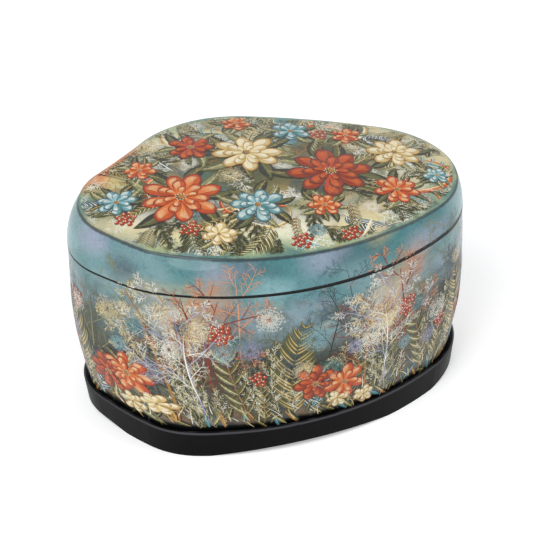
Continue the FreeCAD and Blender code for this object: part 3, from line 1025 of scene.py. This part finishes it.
class LidPainting:
    """The garland of flowers over the lid's dome."""

    # Flowers as x, y, size, petals, tints and spin
    BLOSSOMS = [
        (-40, -18, 19, 8, "warm", 0.3), (31, 4, 20, 8, "deep", 0.9), (-9, 20, 17, 8, "pale", 0.1),
        (-4, -25, 13, 7, "cold", 0.5), (63, 25, 13, 7, "pale", 0.4), (-70, -20, 10, 7, "cold", 0.2),
        (-36, 26, 12, 7, "deep", 0.0), (13, 43, 10, 6, "cold", 0.6), (62, -9, 11, 7, "warm", 0.7),
        (82, 6, 7, 6, "cold", 0.2), (27, -24, 8, 6, "warm", 0.1), (-60, 6, 8, 6, "warm", 0.9),
        (-22, -46, 8, 6, "pale", 0.3), (40, 40, 8, 6, "warm", 0.5), (-14, 52, 8, 6, "warm", 0.8)]

    # Long sweeps of haze as start, heading, length, turn, radius and paint
    SWEEPS = [
        ((-78, -34), -0.5, 92, 0.8, 10, "cream"), ((4, -42), 0.25, 84, 0.5, 9, "frost"),
        ((-62, 26), 0.6, 70, -0.7, 8, "cream"), ((86, 22), 2.2, 60, 0.6, 9, "cream"),
        ((-84, -4), 1.2, 40, -0.5, 7, "apricot"), ((46, -26), 0.5, 40, 0.6, 7, "straw"),
        ((18, 20), 0.4, 44, 0.8, 9, "moss"), ((-22, 2), -0.5, 40, 0.6, 10, "moss")]

    HUB = np.array(DOME_HUB)

    def air(self):
        """Underpainting: sweeping haze, and shade behind the flowers."""
        air = Airbrush()
        draw = np.random.default_rng(21).uniform
        for index, angle, start in places_on_dome(34, 84, 56):
            paint = ("frost", "slate", "straw", "cream", "teal", "frost", "moss")[index % 7]
            heading = angle + 1.7 + draw(-0.4, 0.4)
            path = curl(start, heading, draw(30, 60), draw(0.3, 1.2), 12)
            air.sweep(path, draw(5, 8), paint, 0.42)
        for start, heading, length, turn, radius, paint in self.SWEEPS:
            air.sweep(curl(start, heading, length, turn, 12), radius, paint, 0.4)
        for x, y, size, *_ in self.BLOSSOMS:
            air.dab(x, y - 2, size * 1.1, "fir", 0.85)
        return air

    def brushwork(self):
        """Paints the dome with a brush for each family and gives the families' strokes."""
        laces, leaves, blooms = Brush(5), Brush(6), Brush(7)
        self.haze(laces)
        for index, _, (x, y) in places_on_dome(30, 86, 58, turn=1.0):
            paint = ("frost", "cream", "sky")[index % 3]
            seed_head(laces, x, y, laces.between(4, 7), paint, 3)
        self.border(laces, leaves)
        self.greenery(leaves)
        for x, y, size, petals, tints, spin in self.BLOSSOMS:
            for index in range(9):
                angle = spin + 0.35 + index * 0.7
                start = (x + size * 0.6 * math.cos(angle), y + size * 0.6 * math.sin(angle))
                leaf(leaves, start, angle, size * (0.95 if index % 2 else 0.75) + 2,
                     FOLIAGE[(index + int(size)) % 3], 4 + index % 2, 0.6 * (-1) ** index, 0.4)
            flower(blooms, x, y, size, petals, TINTS[tints], 7, spin)
        return {"frost_lace": self.kept(laces), "foliage": self.kept(leaves),
                "flowers": self.kept(blooms)}

    def kept(self, brush):
        """The strokes, ended where they would come too near the crease."""
        corner = CREASE_PLAN[::4] - self.HUB
        turn = np.arctan2(corner[:, 1], corner[:, 0])
        order = np.argsort(turn)
        turn, reach = turn[order], np.linalg.norm(corner[order], axis=1)
        kept = []
        for path, widths, paint, layer in brush.strokes:
            away = path - self.HUB
            limit = np.interp(np.arctan2(away[:, 1], away[:, 0]), turn, reach, period=2 * math.pi)
            limit = limit - DOME_EDGE_CLEAR - widths.max() / 2
            inside = np.linalg.norm(away, axis=1) < limit
            if inside.all():
                kept.append((path, widths, paint, layer))
            elif inside[0] and len(path) > 4:
                until = int(np.argmin(inside))
                if until > 4:
                    share = np.linspace(1, 0.25, until)
                    kept.append((path[:until], widths[:until] * share, paint, layer))
        return kept

    def border(self, laces, leaves):
        """Small sprigs, fronds and frost lace that follow the crease."""
        for index, corner in enumerate(CREASE_PLAN[::STATIONS // 40]):
            inward = (self.HUB - corner) / np.linalg.norm(self.HUB - corner)
            start = corner + inward * leaves.between(11, 17)
            out = math.atan2(-inward[1], -inward[0]) + leaves.between(-0.9, 0.9)
            kind = index % 4
            if kind == 0:
                fir_sprig(leaves, start, out, leaves.between(14, 20), 0.4, 1)
            elif kind == 1:
                lace(laces, start, out, 16, "frost", 3, 2, 0.5, 0.5)
            elif kind == 2:
                fern(leaves, start, out, leaves.between(16, 22), 0.6, ("moss", "cream"), 1, 12)
            else:
                lace(laces, start, out, 15, "slate", 3, 1, -0.5, 0.5)
                leaf(leaves, start, out + 0.6, 10, FOLIAGE[index % 3], 2, 0.4)

    def haze(self, brush):
        """Frost lace over the whole dome."""
        for index, _, start in places_on_dome(64, 88, 60):
            paint = ("slate", "moss", "frost", "ochre", "frost", "frost")[index % 6]
            lace(brush, start, brush.between(0, 6.28), brush.between(14, 24), paint, 3, index % 2,
                 brush.between(-1.2, 1.2), 0.5)

    def greenery(self, brush):
        """Fronds, sprigs, rowan and scrolls that fan out from the flowers to the crease."""
        for index, angle, start in places_on_dome(58, 82, 54, least=0.25, span=0.66):
            out = angle + brush.between(-0.5, 0.5)
            kind = index % 5
            side = 1 if index % 2 else -1
            if kind == 0:
                fir_sprig(brush, start, out, brush.between(22, 30), side * 0.4, 2)
            elif kind == 1:
                tints = (("moss", "cream"), ("slate", "frost"), ("fir", "sage"))[index % 3]
                fern(brush, start, out, brush.between(24, 32), side * 0.9, tints, 2, 14)
            elif kind == 2:
                scroll(brush, start, out + side * 0.5, brush.between(44, 60), side * 4.2,
                       TINTS[("cold", "pale", "warm")[index % 3]], 1, 4.6)
            elif kind == 3:
                rowan(brush, start, out, brush.between(18, 26), side * 0.7, 5, 13, 2.5)
            else:
                fir_sprig(brush, start, out + 0.4, brush.between(18, 24), -side * 0.4, 3)


SIDES = SidePainting(40, 9)
GARLAND = LidPainting()


def colour_property(name, text, value):
    """A colour setting with its name, its hint and the paint it starts from."""
    return bpy.props.FloatVectorProperty(name=name, description=text, default=value[:3],
                                         subtype="COLOR", size=3, min=0.0, max=1.0)


class LacquerPaints(bpy.types.PropertyGroup):
    """Colours of the grounds and lacquers."""

    teal: colour_property("Teal", "Sky colour near the seam", pigment(62, 116, 120))
    cream: colour_property("Cream", "Warm pale haze", pigment(226, 206, 160))
    olive: colour_property("Olive", "Dark green shade", pigment(70, 70, 42))
    ember: colour_property("Ember", "Orange glow in the haze", pigment(204, 122, 58))
    mist: colour_property("Mist", "Grey blue haze", pigment(112, 136, 146))
    red: colour_property("Inner red", "Lacquer inside the box", pigment(150, 22, 14))
    black: colour_property("Black", "Lacquer of the foot ring and the rims", pigment(7, 7, 8))
    brass: colour_property("Brass", "Metal of the hinge", pigment(214, 176, 96))


class LacquerSizes(bpy.types.PropertyGroup):
    """Sizes that a painter would choose."""

    # The rim lines are the rims' black lacquer, and are wider to the right as painted shade of the
    # seam's gap there
    seam_left: bpy.props.FloatProperty(
        name="Seam line left", description="Width of the black rim line at the left end",
        default=0.55 * MM, unit="LENGTH", min=0.0)
    seam_right: bpy.props.FloatProperty(
        name="Seam line right", description="Width of the black rim line at the right end",
        default=1.5 * MM, unit="LENGTH", min=0.0)
    foot_shade: bpy.props.FloatProperty(
        name="Foot shade", description="Height over which the painting fades to black at the foot",
        default=3.6 * MM, unit="LENGTH", min=0.0)


class LacquerStudio(bpy.types.PropertyGroup):
    """The stage round the box."""

    distance: bpy.props.FloatProperty(
        name="Camera distance", description="From the camera to the middle of the box",
        default=0.95, unit="LENGTH", min=0.2)
    tilt: bpy.props.FloatProperty(
        name="Camera tilt", description="How far the camera looks down", default=math.radians(35),
        subtype="ANGLE")
    roll: bpy.props.FloatProperty(
        name="Camera roll", description="How far the camera leans", default=math.radians(-1.76),
        subtype="ANGLE")
    sky: bpy.props.FloatProperty(
        name="Sky light", description="Strength of the even light from all round", default=0.55,
        min=0.0)
    key: bpy.props.FloatProperty(
        name="Key light", description="Power of the big soft lamp in watts", default=9.0, min=0.0)
    sheen: bpy.props.FloatProperty(
        name="Sheen light", description="Power of the low lamp that the lid's edge mirrors",
        default=2.4, min=0.0)
    fill: bpy.props.FloatProperty(
        name="Fill light", description="Power of the second soft lamp in watts", default=4.0,
        min=0.0)


def colour(value):
    """A property's colour as the four numbers that a shader takes."""
    return (*value, 1.0)


def dress(material, *nodes):
    """Gives CAD nodes a material of their own."""
    for name in nodes:
        for slot in frame["nodes"][name].material_slots:
            slot.material = material


def scattered(finish, base, patches):
    """Lays soft patches of colour over a ground, each as colour, size, low, high and share."""
    for number, (tint, size, low, high, share) in enumerate(patches):
        cloud = finish.noise(size, 4, 0.6, 0.6, (0.31 * number, 0.17 * number, 0.05 * number))
        base = finish.mix(cloud.between(low, high) * share, base, tint)
    return base


def airbrushed(finish, base):
    """Lays the mesh's soft dabs over a ground, their edges broken by fine noise."""
    ragged = finish.noise(3.2, 5, 0.7, 0.8)
    cover = (finish.reading("airbrush", 3) * (0.55 + 0.9 * ragged)).clamp()
    return finish.mix(cover, base, finish.reading("airbrush", 0))


def brushed(finish, base):
    """Breaks a ground up with fine dabs, as small brush marks do."""
    dabs = finish.noise(2.2, 5, 0.7, 1.2)
    base = finish.mix(dabs.between(0.42, 0.7) * 0.34, base, PAINTS["frost"], "SOFT_LIGHT")
    shade = finish.noise(3.4, 5, 0.65, 1.6, (0.9, 0.4, 0.2))
    return finish.mix(shade.between(0.5, 0.72) * 0.4, base, PAINTS["fir"], "SOFT_LIGHT")


def ground_close(finish, base):
    """The clear lacquer over a painted ground."""
    ripple = finish.noise(9, 2, 0.5)
    roughness = 0.34 + 0.12 * finish.noise(4, 3)
    return finish.close(Base_Color=base, Roughness=roughness, **OUTER_COAT,
                        Normal=finish.bump(ripple, 0.02, 0.35))


class LACQUER_OT_black_foot(bpy.types.Operator):
    """Satin black lacquer on the foot ring and its board"""

    bl_idname = "lacquer.black_foot"
    bl_label = "Black foot ring"

    def execute(self, context):
        black = colour(context.scene.lacquer_paints.black)
        finish = Finish("black_foot_lacquer")
        worn = finish.noise(14, 4, 0.6)
        base = finish.mix(worn.between(0.35, 0.75) * 0.5, black, pigment(14, 14, 15))
        # A lighter grey line along the lip's eased edge: a painted highlight there, with a little wear
        # on the edge
        high = finish.place(2) + (worn - 0.5) * 0.5 * MM
        below_lip = high.between((LIP_Z - 1) * MM, (LIP_Z - 0.5) * MM)
        past_lip = high.between((LIP_Z - 0.15) * MM, (LIP_Z + 0.05) * MM)
        base = finish.mix(below_lip * (1 - past_lip) * 0.8, base, pigment(74, 74, 78))
        grain = finish.noise(0.9, 3, 0.6)
        material = finish.close(
            Base_Color=base, Roughness=0.34 + 0.14 * worn, Specular_IOR_Level=0.06,
            Normal=finish.bump(grain, 0.012, 0.5))
        dress(material, "plinth_skirt", "plinth_board")
        return {"FINISHED"}


class LACQUER_OT_inner_lacquer(bpy.types.Operator):
    """Red lacquer inside, with black rims, and black lacquer on the collar"""

    bl_idname = "lacquer.inner_lacquer"
    bl_label = "Inner lacquer"

    def execute(self, context):
        paints = context.scene.lacquer_paints
        dress(self.red("body_inner_lacquer", paints, MOUTH_Z), "body_wall")
        dress(self.red("lid_inner_lacquer", paints, LID_Z), "lid_wall")
        dress(self.red("red_lacquer", paints), "lid_top", "body_floor")
        finish = Finish("collar_black_lacquer")
        mottle = finish.noise(12, 4, 0.6)
        base = finish.mix(mottle * 0.5, colour(paints.black), pigment(44, 26, 22))
        material = finish.close(Base_Color=base, Roughness=0.24 + 0.16 * mottle, **INNER_COAT,
                                Normal=finish.bump(finish.noise(1.4), 0.01, 0.5))
        dress(material, "body_collar")
        return {"FINISHED"}

    def red(self, name, paints, rim_z=None):
        """Mottled red lacquer that turns black close to a rim at a height."""
        finish = Finish(name)
        mottle = finish.noise(18, 4, 0.6)
        base = finish.mix(mottle.between(0.3, 0.75) * 0.45, colour(paints.red),
                          pigment(112, 12, 10))
        if rim_z:
            away = finish.place(2) - rim_z * MM
            rim = 1 - away.maths("ABSOLUTE", away).between(0.15 * MM, 0.6 * MM)
            base = finish.mix(rim, base, colour(paints.black))
        grain = finish.noise(1.6, 3, 0.6)
        return finish.close(Base_Color=base, Roughness=0.3 + 0.12 * mottle, **INNER_COAT,
                            Normal=finish.bump(grain, 0.012, 0.5))


class LACQUER_OT_brass_hinge(bpy.types.Operator):
    """Drawn and lightly tarnished brass on the hinge, its pin and its brads"""

    bl_idname = "lacquer.brass_hinge"
    bl_label = "Brass hinge"

    def execute(self, context):
        brass = colour(context.scene.lacquer_paints.brass)
        finish = Finish("hinge_brass_drawn")
        drawn = finish.noise(1.2, 4, 0.6, 0.0, (0, 0, 0), (0.12, 1.0, 1.0))
        tarnish = finish.noise(5, 4, 0.65, 0.8)
        base = finish.mix(tarnish.between(0.5, 0.78) * 0.7, brass, pigment(120, 84, 42))
        material = finish.close(
            Base_Color=base, Metallic=1.0, Roughness=0.24 + 0.22 * tarnish,
            Normal=finish.bump(drawn, 0.01, 0.6))
        dress(material, "hinge_leaf_body", "hinge_leaf_lid", "hinge_pin", "leaf_nails_body",
              "leaf_nails_lid")
        return {"FINISHED"}


def side_sky(finish, paints, rise):
    """Colours of the side's painting by height above the foot, with drifting edges."""
    drift = finish.noise(26, 4, 0.6, 0.8, (0.2, 0.1, 0.4))
    level = (rise + (drift - 0.5) * 34 * MM).between(0.0, 96 * MM)
    stops = [(0.0, pigment(44, 36, 24)), (0.1, pigment(96, 86, 60)), (0.24, pigment(88, 92, 76)),
             (0.42, pigment(48, 62, 62)), (0.6, pigment(68, 88, 92)), (0.78, colour(paints.mist)),
             (0.88, pigment(84, 132, 138)), (1.0, colour(paints.teal))]
    return finish.ramp(level, stops)


def side_ground(name, paints):
    """The painted haze of the sides, shared by the body and the lid's wall."""
    finish = Finish(name)
    rise = finish.place(2) - LIP_Z * MM
    base = side_sky(finish, paints, rise)
    low_share = 1 - rise.between(56 * MM, 92 * MM)
    haze = finish.noise(40, 2, 0.4).between(0.42, 0.68)
    calm = finish.mix(haze * 0.5, base, pigment(150, 172, 178))
    busy = scattered(finish, calm, [
        (colour(paints.cream), 28, 0.57, 0.72, 0.55),
        (pigment(46, 66, 74), 24, 0.5, 0.66, 0.7),
        (colour(paints.ember), 22, 0.6, 0.74, 0.5)])
    base = finish.mix(low_share, calm, busy)
    shade = finish.noise(22, 5, 0.62, 0.9, (0.7, 0.3, 0.1)).between(0.46, 0.64)
    base = finish.mix(shade * low_share * 0.8, base, colour(paints.olive))
    base = brushed(finish, airbrushed(finish, base))
    return finish, base, rise


class LACQUER_OT_body_ground(bpy.types.Operator):
    """The painted ground round the body, fading to black at the foot"""

    bl_idname = "lacquer.body_ground"
    bl_label = "Body ground"

    def execute(self, context):
        scene = context.scene
        finish, base, rise = side_ground("body_ground", scene.lacquer_paints)
        ragged = finish.noise(7, 4, 0.6, 0.8)
        fade = 1 - (rise - ragged * 4 * MM).between(-0.5 * MM, scene.lacquer_sizes.foot_shade)
        base = finish.mix(fade, base, colour(scene.lacquer_paints.black))
        material = ground_close(finish, base)
        distance = DISTANCE[::EVERY]
        top = np.where(GROOVED[::EVERY], SEAM_Z - GROOVE_RADIUS, MOUTH_Z)
        air = SIDES.air()
        points, tints = [], []
        for row in range(BODY_ROWS):
            z = FOOT_Z + FOOT_GAP + (top - FOOT_Z - FOOT_GAP) * row / (BODY_ROWS - 1)
            points.append(BODY.place(distance, z)[0])
            tints.append(air.spread(distance, z, PERIMETER))
        faces = grid_faces(BODY_ROWS, len(distance))
        make_mesh("body_painted_ground", np.concatenate(points), faces, "base",
                  [material], readings={"airbrush": np.concatenate(tints)})
        return {"FINISHED"}


class LACQUER_OT_lid_ground(bpy.types.Operator):
    """The painted ground over the lid's wall, its soft crease and its dome"""

    bl_idname = "lacquer.lid_ground"
    bl_label = "Lid ground"

    def execute(self, context):
        paints = context.scene.lacquer_paints
        finish, side, _ = side_ground("lid_ground", paints)
        edge = finish.reading("edge_distance")
        top = self.dome_colours(finish, paints, edge)
        on_dome = edge.between(-0.4, 0.4)
        base = finish.mix(on_dome, side, top)
        # A ragged dark line along the crease: the painting's dark outline there, and partly a painted
        # dark reflection where the gloss turns over the crease
        ragged = finish.noise(3, 3) - 0.5
        line = 1 - (edge.maths("ABSOLUTE", edge + 0.2) + ragged * 0.9).between(0.35, 1.25)
        base = finish.mix(line * 0.85, base, pigment(34, 44, 50))
        material = ground_close(finish, base)
        points, readings, tints = self.form()
        columns = len(points[0])
        flat = np.concatenate(points + [self.crown()])
        faces = grid_faces(len(points), columns)
        last = (len(points) - 1) * columns
        hub = len(flat) - 1
        faces += [(last + i, last + (i + 1) % columns, hub) for i in range(columns)]
        readings = {"edge_distance": np.concatenate(readings + [[HUB_DISTANCE]]),
                    "airbrush": np.concatenate(tints + [tints[-1][:1]])}
        make_mesh("lid_painted_ground", flat, faces, "lid", [material],
                  readings=readings)
        return {"FINISHED"}

    def crown(self):
        """The dome's middle, as a row of one point."""
        spot = np.array([DOME_HUB])
        return np.column_stack([spot, dome(spot[:, 0], spot[:, 1])])

    def form(self):
        """Rows up the wall, round the crease and in over the dome, with distances from the crease."""
        distance = DISTANCE[::EVERY]
        crease = CREASE[::EVERY]
        low = np.where(GROOVED[::EVERY], SEAM_Z + GROOVE_RADIUS, LID_Z)
        side_air, top_air = SIDES.air(), GARLAND.air()
        rows, readings, tints = [], [], []
        for row in range(LID_ROWS):
            z = low + (crease - CREASE_ROUND - low) * row / (LID_ROWS - 1)
            rows.append(LID.place(distance, z)[0])
            readings.append(z - crease)
            tints.append(side_air.spread(distance, z, PERIMETER))
        corner = LID.place(distance, crease)[0]
        hub = self.crown()[0]
        inward = hub[:2] - corner[:, :2]
        length = np.linalg.norm(inward, axis=1, keepdims=True)
        shoulder = corner[:, :2] + inward / length * CREASE_ROUND
        shoulder = np.column_stack([shoulder, dome(shoulder[:, 0], shoulder[:, 1])])
        foot = rows[-1]
        for step in (0.25, 0.5, 0.75, 1.0):
            bend = foot * (1 - step) ** 2 + corner * 2 * step * (1 - step) + shoulder * step ** 2
            rows.append(bend)
            readings.append(np.full(len(distance), CREASE_ROUND * (2 * step - 1)))
            tints.append(top_air.spread(bend[:, 0], bend[:, 1]))
        for ring in range(1, DOME_RINGS):
            share = ring / DOME_RINGS
            spot = shoulder[:, :2] + (hub[:2] - shoulder[:, :2]) * share
            rows.append(np.column_stack([spot, dome(spot[:, 0], spot[:, 1])]))
            readings.append(CREASE_ROUND + (length[:, 0] - CREASE_ROUND) * share)
            tints.append(top_air.spread(spot[:, 0], spot[:, 1]))
        return rows, readings, tints

    def dome_colours(self, finish, paints, edge):
        """Teal at the crease, pale haze inside it and olive in the middle, with warm patches."""
        drift = finish.noise(34, 4, 0.6, 0.9, (0.5, 0.2, 0.1))
        level = (edge + (drift - 0.5) * 44).between(-6, 46)
        stops = [(0.0, pigment(84, 122, 114)), (0.18, pigment(150, 166, 128)),
                 (0.4, pigment(214, 214, 166)), (0.58, pigment(216, 212, 150)),
                 (1.0, pigment(92, 102, 66))]
        base = finish.ramp(level, stops)
        base = scattered(finish, base, [
            (colour(paints.mist), 30, 0.54, 0.7, 0.6),
            (pigment(214, 148, 66), 26, 0.6, 0.74, 0.5),
            (colour(paints.olive), 21, 0.57, 0.7, 0.7)])
        return brushed(finish, airbrushed(finish, base))


class LACQUER_OT_rim_lines(bpy.types.Operator):
    """Black lines along the rims of the lid and the body: the rims' black lacquer, widened to the
    right as painted shade of the seam's gap, which opens wider there
    """

    bl_idname = "lacquer.rim_lines"
    bl_label = "Rim lines"

    def execute(self, context):
        sizes = context.scene.lacquer_sizes
        distance = DISTANCE[::EVERY]
        spot = BODY.place(distance, MOUTH_Z)[0]
        # The lines widen to the right as painted shade of the seam's gap, which opens wider there
        share = np.clip((spot[:, 0] + HALF_LENGTH) / (2 * HALF_LENGTH), 0, 1)
        width = (sizes.seam_left + (sizes.seam_right - sizes.seam_left) * share ** 1.5) / MM
        groove = GROOVED[::EVERY]
        finish = Finish("rim_black_lacquer_and_gap_shade")
        mottle = finish.noise(6, 3)
        base = finish.mix(mottle * 0.4, colour(context.scene.lacquer_paints.black),
                          pigment(5, 5, 6))
        material = finish.close(Base_Color=base, Roughness=0.3 + 0.12 * mottle,
                                Specular_IOR_Level=0.25)
        top = np.where(groove, SEAM_Z - GROOVE_RADIUS, MOUTH_Z)
        low = np.where(groove, SEAM_Z + GROOVE_RADIUS, LID_Z)
        steps = range(-RIM_LINE_STOP, RIM_LINE_STOP + 1)
        near_hinge = np.array([np.roll(groove, step) for step in steps]).any(axis=0)
        for name, wall, edge, way, body in (("body_rim_line", BODY, top, -0.45, "base"),
                                            ("lid_rim_line", LID, low, 1.0, "lid")):
            heights = [edge + way * width * row / 2 for row in range(3)]
            rows = [wall.place(distance, height, RIM_LIFT)[0] for height in heights]
            faces = grid_faces(3, len(distance))
            if way < 0:
                faces = [face[::-1] for face in faces]
            else:
                faces = [face for face in faces if not near_hinge[face[0] % len(distance)]]
            make_mesh(name, np.concatenate(rows), faces, body, [material])
        return {"FINISHED"}


class LACQUER_OT_side_plants(bpy.types.Operator):
    """Ferns, rowan, fir sprigs, flowers and frost lace growing up the sides"""

    bl_idname = "lacquer.side_plants"
    bl_label = "Side plants"

    def execute(self, context):
        for family, strokes in SIDES.brushwork().items():
            body_part, lid_part = split_at_seam(strokes)
            lay("body_" + family, body_part, BODY.place, "base")
            lay("lid_wall_" + family, lid_part, LID.place, "lid")
        return {"FINISHED"}


class LACQUER_OT_lid_bouquet(bpy.types.Operator):
    """A garland of flowers, leaves, berries and frost lace over the dome of the lid"""

    bl_idname = "lacquer.lid_bouquet"
    bl_label = "Lid bouquet"

    def execute(self, context):
        for family, strokes in GARLAND.brushwork().items():
            lay("lid_" + family, strokes, place_on_dome, "lid")
        return {"FINISHED"}


class LACQUER_OT_studio(bpy.types.Operator):
    """Pale floor, white backdrop, soft lamps and the camera"""

    bl_idname = "lacquer.studio"
    bl_label = "Studio"

    def execute(self, context):
        scene = context.scene
        studio = scene.lacquer_studio
        own = set(frame["nodes"].values()) | set(frame["bodies"].values())
        for thing in list(bpy.data.objects):
            if thing.type in {"LIGHT", "CAMERA"} or (thing.name == "Cube" and thing not in own):
                bpy.data.objects.remove(thing)
        self.floor()
        self.world(scene, studio)
        self.lamp("key_lamp", studio.key, 0.9, (-0.5, -0.75, 1.15), (0, 0, 0.06))
        self.lamp("fill_lamp", studio.fill, 1.0, (0.95, -0.2, 0.75), (0, 0, 0.06))
        self.lamp("sheen_lamp", studio.sheen, 0.5, (-0.42, -1.25, 0.46), (-0.03, 0, 0.1))
        self.camera(scene, studio)
        scene.view_settings.view_transform = "Standard"
        return {"FINISHED"}

    def floor(self):
        """A pale floor that glows a little where it is seen."""
        finish = Finish("pale_floor")
        cloud = finish.noise(60, 2)
        base = finish.mix(cloud * 0.3, pigment(246, 246, 246), pigment(240, 240, 241))
        shader = finish.node("ShaderNodeBsdfPrincipled", sockets={
            "Base Color": base, "Roughness": 0.9, "Specular IOR Level": 0.1})
        glow = finish.node("ShaderNodeEmission", sockets={"Color": (1, 1, 1, 1), "Strength": 0.3})
        dark = finish.node("ShaderNodeEmission", sockets={"Color": (0, 0, 0, 1), "Strength": 0.0})
        veil = finish.node("ShaderNodeMixShader", sockets={0: finish.shown(), 1: dark, 2: glow})
        finish.surface(finish.node("ShaderNodeAddShader", sockets={0: shader, 1: veil}))
        mesh = bpy.data.meshes.new("studio_floor")
        reach = 3.0
        corners = [(-reach, -reach, 0), (reach, -reach, 0), (reach, reach, 0), (-reach, reach, 0)]
        mesh.from_pydata(corners, [], [(0, 1, 2, 3)])
        mesh.materials.append(finish.material)
        floor = bpy.data.objects.new("studio_floor", mesh)
        bpy.context.scene.collection.objects.link(floor)

    def world(self, scene, studio):
        """White where it is seen, and an even, slightly cool light for all else."""
        finish = Finish("studio_world", bpy.data.worlds)
        lit = finish.node("ShaderNodeBackground", sockets={
            "Color": (0.96, 0.98, 1.0, 1), "Strength": studio.sky})
        seen = finish.node("ShaderNodeBackground", sockets={"Color": (1, 1, 1, 1)})
        veil = finish.node("ShaderNodeMixShader", sockets={0: finish.shown(), 1: lit, 2: seen})
        scene.world = finish.surface(veil, "ShaderNodeOutputWorld")

    def lamp(self, name, power, size, spot, target):
        """A round soft lamp that is turned to its target."""
        light = bpy.data.lights.new(name, "AREA")
        light.energy = power
        light.shape = "DISK"
        light.size = size
        lamp = bpy.data.objects.new(name, light)
        aim = np.array(target) - np.array(spot)
        lamp.location = spot
        lamp.rotation_euler = (math.acos(-aim[2] / np.linalg.norm(aim)), 0,
                               math.atan2(aim[1], aim[0]) - math.pi / 2)
        bpy.context.scene.collection.objects.link(lamp)

    def camera(self, scene, studio):
        """The camera that was fitted to the photograph."""
        lens = bpy.data.cameras.new("photo_camera")
        lens.sensor_width = SENSOR
        lens.lens = SENSOR * FOCAL_PIXELS / IMAGE_WIDTH
        camera = bpy.data.objects.new("photo_camera", lens)
        camera.rotation_mode = "XYZ"
        back = (0.0, -math.cos(studio.tilt), math.sin(studio.tilt))
        camera.location = [at * MM + way * studio.distance for at, way in zip(CAMERA_TARGET, back)]
        camera.rotation_euler = (math.pi / 2 - studio.tilt, 0, 0)
        scene.collection.objects.link(camera)
        bpy.context.view_layer.update()
        camera.rotation_euler.rotate_axis("Z", studio.roll)
        scene.camera = camera


class LACQUER_PT_box(bpy.types.Panel):
    """Shows the box's settings and a button for each of its steps"""

    bl_label = "Lacquer box"
    bl_space_type = "VIEW_3D"
    bl_region_type = "UI"
    bl_category = "Lacquer box"

    def draw(self, context):
        scene = context.scene
        for group in (scene.lacquer_paints, scene.lacquer_sizes, scene.lacquer_studio):
            for name in group.__annotations__:
                self.layout.prop(group, name)
        for operator in OPERATORS:
            self.layout.operator(operator.bl_idname)


OPERATORS = [
    LACQUER_OT_studio,
    LACQUER_OT_black_foot,
    LACQUER_OT_inner_lacquer,
    LACQUER_OT_brass_hinge,
    LACQUER_OT_body_ground,
    LACQUER_OT_lid_ground,
    LACQUER_OT_rim_lines,
    LACQUER_OT_side_plants,
    LACQUER_OT_lid_bouquet,
]
GROUPS = {
    "lacquer_paints": LacquerPaints,
    "lacquer_sizes": LacquerSizes,
    "lacquer_studio": LacquerStudio,
}


def register():
    """Registers the add-on's classes and its settings on the scene."""
    for kind in [*GROUPS.values(), *OPERATORS, LACQUER_PT_box]:
        bpy.utils.register_class(kind)
    for name, group in GROUPS.items():
        setattr(bpy.types.Scene, name, bpy.props.PointerProperty(type=group))


def unregister():
    """Takes back what register did, in the opposite order."""
    for name in GROUPS:
        delattr(bpy.types.Scene, name)
    for kind in reversed([*GROUPS.values(), *OPERATORS, LACQUER_PT_box]):
        bpy.utils.unregister_class(kind)


def main():
    """Builds and dresses the whole scene."""
    register()
    for operator in OPERATORS:
        family, name = operator.bl_idname.split(".")
        getattr(getattr(bpy.ops, family), name)()
    bpy.context.view_layer.update()


if __name__ == "__main__":
    main()
